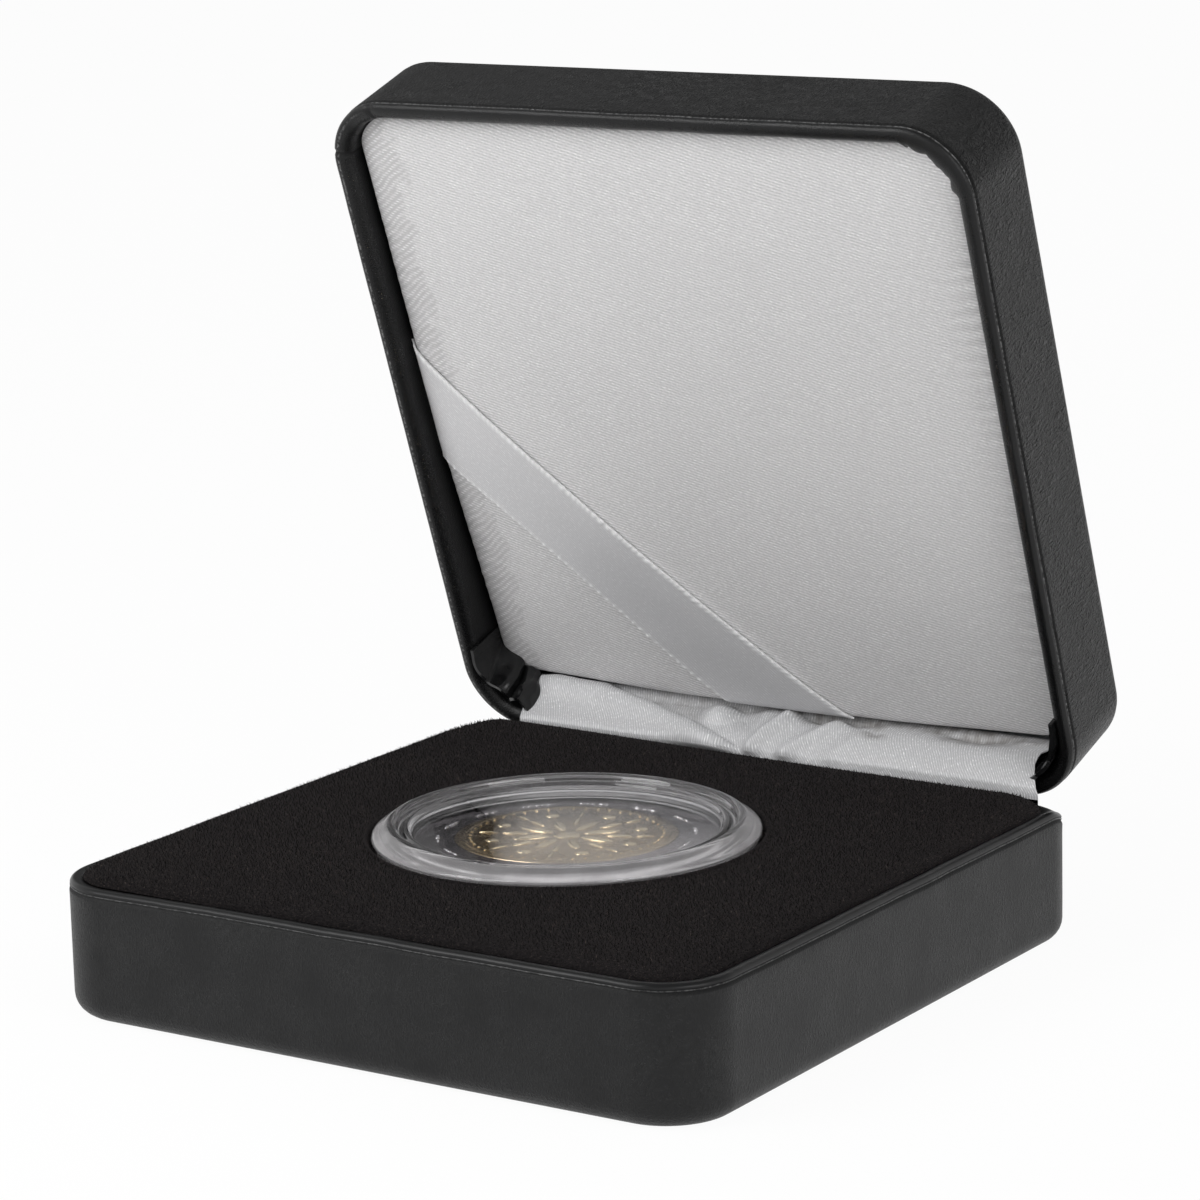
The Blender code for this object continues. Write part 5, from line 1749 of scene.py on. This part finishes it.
@dataclass(frozen=True)
class TwoMetalCoin:
    """Coin with a silver-coloured ring and a gold-coloured core, in a generic relief."""

    seat: float = CAPSULE_BOTTOM + 1.7 * MM
    thickness: float = 2.2 * MM
    radius: float = 12.875 * MM
    core_radius: float = 9.3 * MM
    rim_width: float = 0.7 * MM
    centre: tuple[float, float] = (0.0, WELL_Y)
    relief: float = 0.17 * MM
    petals: int = 8
    leaves: int = 14

    def stamp(
        self,
        bm: BMesh,
        size: tuple[float, float, float],
        distance: float,
        angle: float,
        level: float,
        fine: int = 2,
    ) -> None:
        """Raise one rounded figure on a face of the coin.

        Args:
            bm: The coin's mesh.
            size: Its length outwards, width and height.
            distance: How far it lies from the middle.
            angle: Its direction from the middle.
            level: The face that it stands on.
            fine: How finely it is divided.
        """
        raised = bm.verts.layers.float.get("raised") or bm.verts.layers.float.new("raised")
        made = bmesh.ops.create_icosphere(bm, subdivisions=fine, radius=1.0)["verts"]
        for vertex in made:
            vertex[raised] = 1.0
        bmesh.ops.scale(bm, vec=size, verts=made)
        bmesh.ops.translate(bm, vec=(distance, 0.0, 0.0), verts=made)
        turn = Matrix.Rotation(angle, 3, "Z")
        bmesh.ops.rotate(bm, cent=(0.0, 0.0, 0.0), matrix=turn, verts=made)
        bmesh.ops.translate(bm, vec=(self.centre[0], self.centre[1], level), verts=made)

    def build_ring(self) -> Object:
        """Make the outer ring with its raised rim and leaf pairs."""
        t, r, w = self.thickness / MM, self.radius / MM, self.rim_width / MM
        inner = self.core_radius / MM + 0.06
        face = t - 0.16
        section = [
            (inner, face),
            (r - w - 0.10, face),
            (r - w, face + 0.03),
            (r - w + 0.08, t - 0.03),
            (r - w + 0.18, t),
            (r - 0.20, t),
            (r - 0.06, t - 0.05),
            (r, t - 0.18),
            (r, 0.18),
            (r - 0.06, 0.05),
            (r - 0.20, 0.0),
            (r - w + 0.1, 0.0),
            (r - w, 0.14),
            (inner, 0.16),
            (inner, face),
        ]
        bm = spun([(a * MM, self.seat + b * MM) for a, b in section], self.centre, 160)
        for face_level in (self.seat + face * MM, self.seat + 0.16 * MM):
            for index in range(self.leaves):
                angle = 2.0 * math.pi * (index + 0.35) / self.leaves
                self.stamp(bm, (0.22 * MM, 0.22 * MM, self.relief), 10.75 * MM, angle, face_level)
                for side in (-1.0, 1.0):
                    spread = side * 0.075
                    leaf = (0.18 * MM, 0.52 * MM, self.relief)
                    self.stamp(bm, leaf, 10.75 * MM, angle + spread, face_level)
        material = Metal(
            "struck_silver_metal",
            (0.47, 0.445, 0.465),
            (0.38, 0.355, 0.375),
            0.16,
            centre=Vector((*self.centre, 0.0)),
            depth=0.0012 * MM,
            struck=(0.92, 0.91, 0.92),
        ).material()
        return make_piece(
            "coin_outer_ring", bm, material, Body.CAPSULE, ["coin_ring"], None, 30.0
        )

    def build_core(self) -> Object:
        """Make the core with a rosette, rays and a ring of beads on both faces."""
        c = self.core_radius / MM
        low, high = 0.1, 2.1
        section = [
            (0.0, high),
            (c - 0.9, high),
            (c - 0.82, high + 0.05),
            (c - 0.68, high + 0.05),
            (c - 0.60, high),
            (c - 0.08, high - 0.01),
            (c, high - 0.10),
            (c, low + 0.10),
            (c - 0.08, low),
            (0.0, low),
        ]
        bm = spun([(a * MM, self.seat + b * MM) for a, b in section], self.centre, 144)
        for level in (self.seat + high * MM, self.seat + low * MM):
            self.stamp(bm, (1.15 * MM, 1.15 * MM, 0.20 * MM), 0.0, 0.0, level, 3)
            for index in range(self.petals):
                angle = 2.0 * math.pi * index / self.petals
                half = math.pi / self.petals
                self.stamp(bm, (1.55 * MM, 0.50 * MM, 0.20 * MM), 2.95 * MM, angle, level, 3)
                self.stamp(bm, (1.10 * MM, 0.26 * MM, 0.17 * MM), 4.35 * MM, angle + half, level, 3)
                self.stamp(bm, (0.62 * MM, 0.62 * MM, 0.16 * MM), 6.25 * MM, angle, level, 3)
                self.stamp(bm, (0.85 * MM, 0.15 * MM, 0.14 * MM), 6.6 * MM, angle + half, level)
            for index in range(48):
                angle = 2.0 * math.pi * index / 48
                self.stamp(bm, (0.16 * MM, 0.16 * MM, 0.14 * MM), 8.02 * MM, angle, level, 1)
        material = Metal(
            "struck_gold_metal",
            (0.70, 0.57, 0.38),
            (0.56, 0.45, 0.29),
            0.22,
            centre=Vector((*self.centre, 0.0)),
            depth=0.002 * MM,
            struck=(0.98, 0.84, 0.56),
        ).material()
        return make_piece(
            "coin_inner_core", bm, material, Body.CAPSULE, ["coin_core"], None, 30.0
        )


@dataclass(frozen=True)
class InnerStructure:
    """The steel shells and card boards inside both halves, as the CAD has them."""

    def build(self) -> None:
        """Dress the hidden nodes."""
        light, dark = (0.56, 0.57, 0.58), (0.44, 0.45, 0.46)
        steel = Metal("stamped_steel", light, dark, 0.36, stretch=(0.15, 1.0, 1.0)).material()
        light, dark = (0.40, 0.38, 0.35), (0.26, 0.25, 0.23)
        card = Pulp("grey_card_board", light, dark, 3.2, 0.03 * MM).material()
        for node in ("base_shell", "lid_shell"):
            dress(node, steel)
        for node in ("base_board", "lid_board"):
            dress(node, card)


# ----------------------------------------------------------------- the studio


@dataclass(frozen=True)
class SoftLamp:
    """A soft box: where it stands, how wide it is and the light it casts."""

    name: str
    place: tuple[float, float, float]
    size: float
    level: float

    def build(self) -> None:
        """Hang the lamp, facing the case."""
        data = bpy.data.lights.new(self.name, "AREA")
        data.shape = "SQUARE"
        data.size = self.size
        spot = Vector(self.place)
        aim = Vector((0.0, 0.0, 0.03)) - spot
        data.energy = self.level * math.pi * math.pi * aim.length_squared
        lamp = bpy.data.objects.new(self.name, data)
        bpy.context.scene.collection.objects.link(lamp)
        lamp.location = spot
        lamp.visible_camera = False
        lamp.rotation_euler = aim.to_track_quat("-Z", "Y").to_euler()


@dataclass(frozen=True)
class Studio:
    """Camera, white floor, surroundings and soft lamps."""

    azimuth: float = math.radians(33.882)
    elevation: float = math.radians(12.412)
    roll: float = math.radians(-1.465)
    distance: float = 363.3 * MM
    across: float = 1.794 * MM
    up: float = 30.623 * MM
    focal_pixels: float = 4400.968
    daylight: float = 0.45
    ceiling: float = 0.35
    curtain: float = 0.12
    curtain_side: tuple[float, float, float] = (-0.60, 0.765, 0.235)
    lamps: tuple[SoftLamp, ...] = (
        SoftLamp("top_left_box", (-0.55, -0.45, 0.75), 0.7, 0.10),
        SoftLamp("front_left_box", (-0.11, -0.19, 0.18), 0.16, 0.50),
        SoftLamp("right_box", (0.80, -0.25, 0.40), 0.6, 0.40),
    )

    def build_camera(self) -> None:
        """Stand the camera where the photograph was taken from."""
        cos_up, sin_up = math.cos(self.elevation), math.sin(self.elevation)
        cos_side, sin_side = math.cos(self.azimuth), math.sin(self.azimuth)
        back = Vector((sin_side * cos_up, -cos_side * cos_up, sin_up))
        level = Vector((cos_side, sin_side, 0.0))
        raised = back.cross(level)
        right = level * math.cos(self.roll) + raised * math.sin(self.roll)
        upright = raised * math.cos(self.roll) - level * math.sin(self.roll)
        target = right * self.across + upright * self.up
        data = bpy.data.cameras.new("photo_camera")
        data.sensor_width = SENSOR_WIDTH
        data.lens = self.focal_pixels * SENSOR_WIDTH / PHOTO_PIXELS
        data.clip_start = 0.01
        camera = bpy.data.objects.new("photo_camera", data)
        bpy.context.scene.collection.objects.link(camera)
        turned = Matrix((right, upright, back)).transposed().to_4x4()
        camera.matrix_world = Matrix.Translation(target + back * self.distance) @ turned
        bpy.context.scene.camera = camera

    def build_floor(self) -> None:
        """Lay the pale floor, which keeps the case's shadow."""
        bm = bmesh.new()
        bmesh.ops.create_grid(bm, x_segments=8, y_segments=8, size=2.5)
        mesh = bpy.data.meshes.new("studio_floor")
        bm.to_mesh(mesh)
        bm.free()
        floor = bpy.data.objects.new("studio_floor", mesh)
        bpy.context.scene.collection.objects.link(floor)
        desk = NodeDesk(bpy.data.materials.new("studio_paper"))
        desk.surface(Base_Color=(0.92, 0.92, 0.92, 1.0), Roughness=0.9, Specular_IOR_Level=0.0)
        rays = desk.node("ShaderNodeLightPath")
        seen = desk.maths("MAXIMUM", rays.outputs["Is Camera Ray"], rays.outputs["Is Glossy Ray"])
        seen = desk.maths("MAXIMUM", seen, rays.outputs["Is Transmission Ray"])
        glow = desk.node("ShaderNodeEmission", {"Color": (1.0, 1.0, 1.0, 1.0), "Strength": 1.0})
        share = desk.times(seen, 0.95)
        shaders = {0: share, 1: desk.shader.outputs[0], 2: glow.outputs[0]}
        mixer = desk.node("ShaderNodeMixShader", shaders)
        out = desk.tree.nodes["Material Output"]
        desk.feed(out.inputs["Surface"], mixer.outputs[0])
        mesh.materials.append(desk.owner)

    def build_world(self) -> None:
        """White surroundings that the camera sees, at a plain level for light."""
        world = bpy.data.worlds.new("white_surroundings")
        desk = NodeDesk(world, "Background")
        rays = desk.node("ShaderNodeLightPath").outputs
        direction = desk.node("ShaderNodeTexCoord").outputs["Generated"]
        seen = desk.maths("MAXIMUM", rays["Is Camera Ray"], rays["Is Transmission Ray"])
        seen = desk.maths("MAXIMUM", seen, rays["Is Glossy Ray"])
        height = desk.along(direction, (0.0, 0.0, 1.0))
        ceiling = desk.spread(height, 0.30, 0.75, 1.0, self.ceiling)
        aside = desk.along(direction, self.curtain_side)
        curtain = desk.spread(aside, 0.93, 0.98, 1.0, self.curtain)
        shown = desk.maths("MAXIMUM", desk.times(ceiling, curtain), rays["Is Camera Ray"])
        level = desk.node("ShaderNodeMix", {0: seen, 2: self.daylight, 3: shown}).outputs[0]
        desk.surface(Color=(1.0, 1.0, 1.0, 1.0), Strength=level)
        bpy.context.scene.world = world

    def build(self) -> None:
        """Set up the whole studio."""
        bpy.context.scene.view_settings.view_transform = "Standard"
        self.build_camera()
        self.build_floor()
        self.build_world()
        for lamp in self.lamps:
            lamp.build()
        LOG.info("studio ready")


def main() -> None:
    """Build the studio and the case's pieces in order."""
    logging.basicConfig(level=logging.INFO, format="%(name)s: %(message)s")
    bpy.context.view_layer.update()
    Studio().build()
    LeatherTray(
        "base_leatherette",
        "base_cover",
        Body.BASE,
        BASE_HEIGHT - 0.42 * MM,
        1.8 * MM,
        4.3 * MM,
        Leatherette("base_black_leatherette", wrinkle_depth=0.05 * MM, wear_and_highlight=(0.085, 0.085, 0.085)),
        Matrix.Identity(4),
        front_sign=-1.0,
        relief=1.0 * MM,
        sink=0.10 * MM,
        plain_front=1.0,
        seed=1.0,
    ).build()
    lid_leather = Leatherette(
        "lid_black_leatherette",
        turn=LID_OPEN,
        wrinkle_depth=0.36 * MM,
        wrinkle_size=2.7,
        gloss=0.34,
        shine=0.26,
        calm_left=True,
        # These tones are darker than the base's leatherette: painted shade, the same leatherette darkened
        # where the lid gets less light.
        shade=(0.0045, 0.0046, 0.0048),
        pale=(0.0075, 0.0076, 0.0079),
    )
    LeatherTray(
        "lid_leatherette",
        "lid_cover",
        Body.LID,
        LID_HEIGHT,
        1.2 * MM,
        6.0 * MM,
        lid_leather,
        LID_POSE,
        front_sign=1.0,
        lobes=1.15 * MM,
        painted_corner_shade=0.34,
        left_highlight_line=0.9,
        cuts=(
            RimDetail(1.42, 0.035, 1.0, False, True),
            RimDetail(0.22, 0.030, 1.0, False, True),
            RimDetail(0.85, 0.16, 0.35, False, True),
        ),
        seed=5.0,
    ).build()
    gathered = Leatherette(
        "gathered_leatherette",
        wrinkle_depth=0.02 * MM,
        gloss=0.26,
        shine=0.4,
        # Darker than the lid's leatherette: painted shade for the hinge corner.
        shade=(0.004, 0.004, 0.0042),
    )
    CornerGather("corner_gather_left", -1.0, gathered).build()
    CornerGather(
        "corner_gather_right", 1.0, gathered, end=3.2 * MM, bulge=0.55 * MM, folds=2.0
    ).build()
    insert = VelourInsert()
    insert.build_cover()
    insert.build_pile()
    insert.build_foam()
    cushion = SatinCushion()
    cushion.build()
    cushion.build_foam()
    DiagonalRibbon(cushion).build()
    HingeStrip().build()
    SnapHinge().build()
    CoinCapsule().build()
    coin = TwoMetalCoin()
    coin.build_ring()
    coin.build_core()
    InnerStructure().build()


if __name__ == "__main__":
    main()
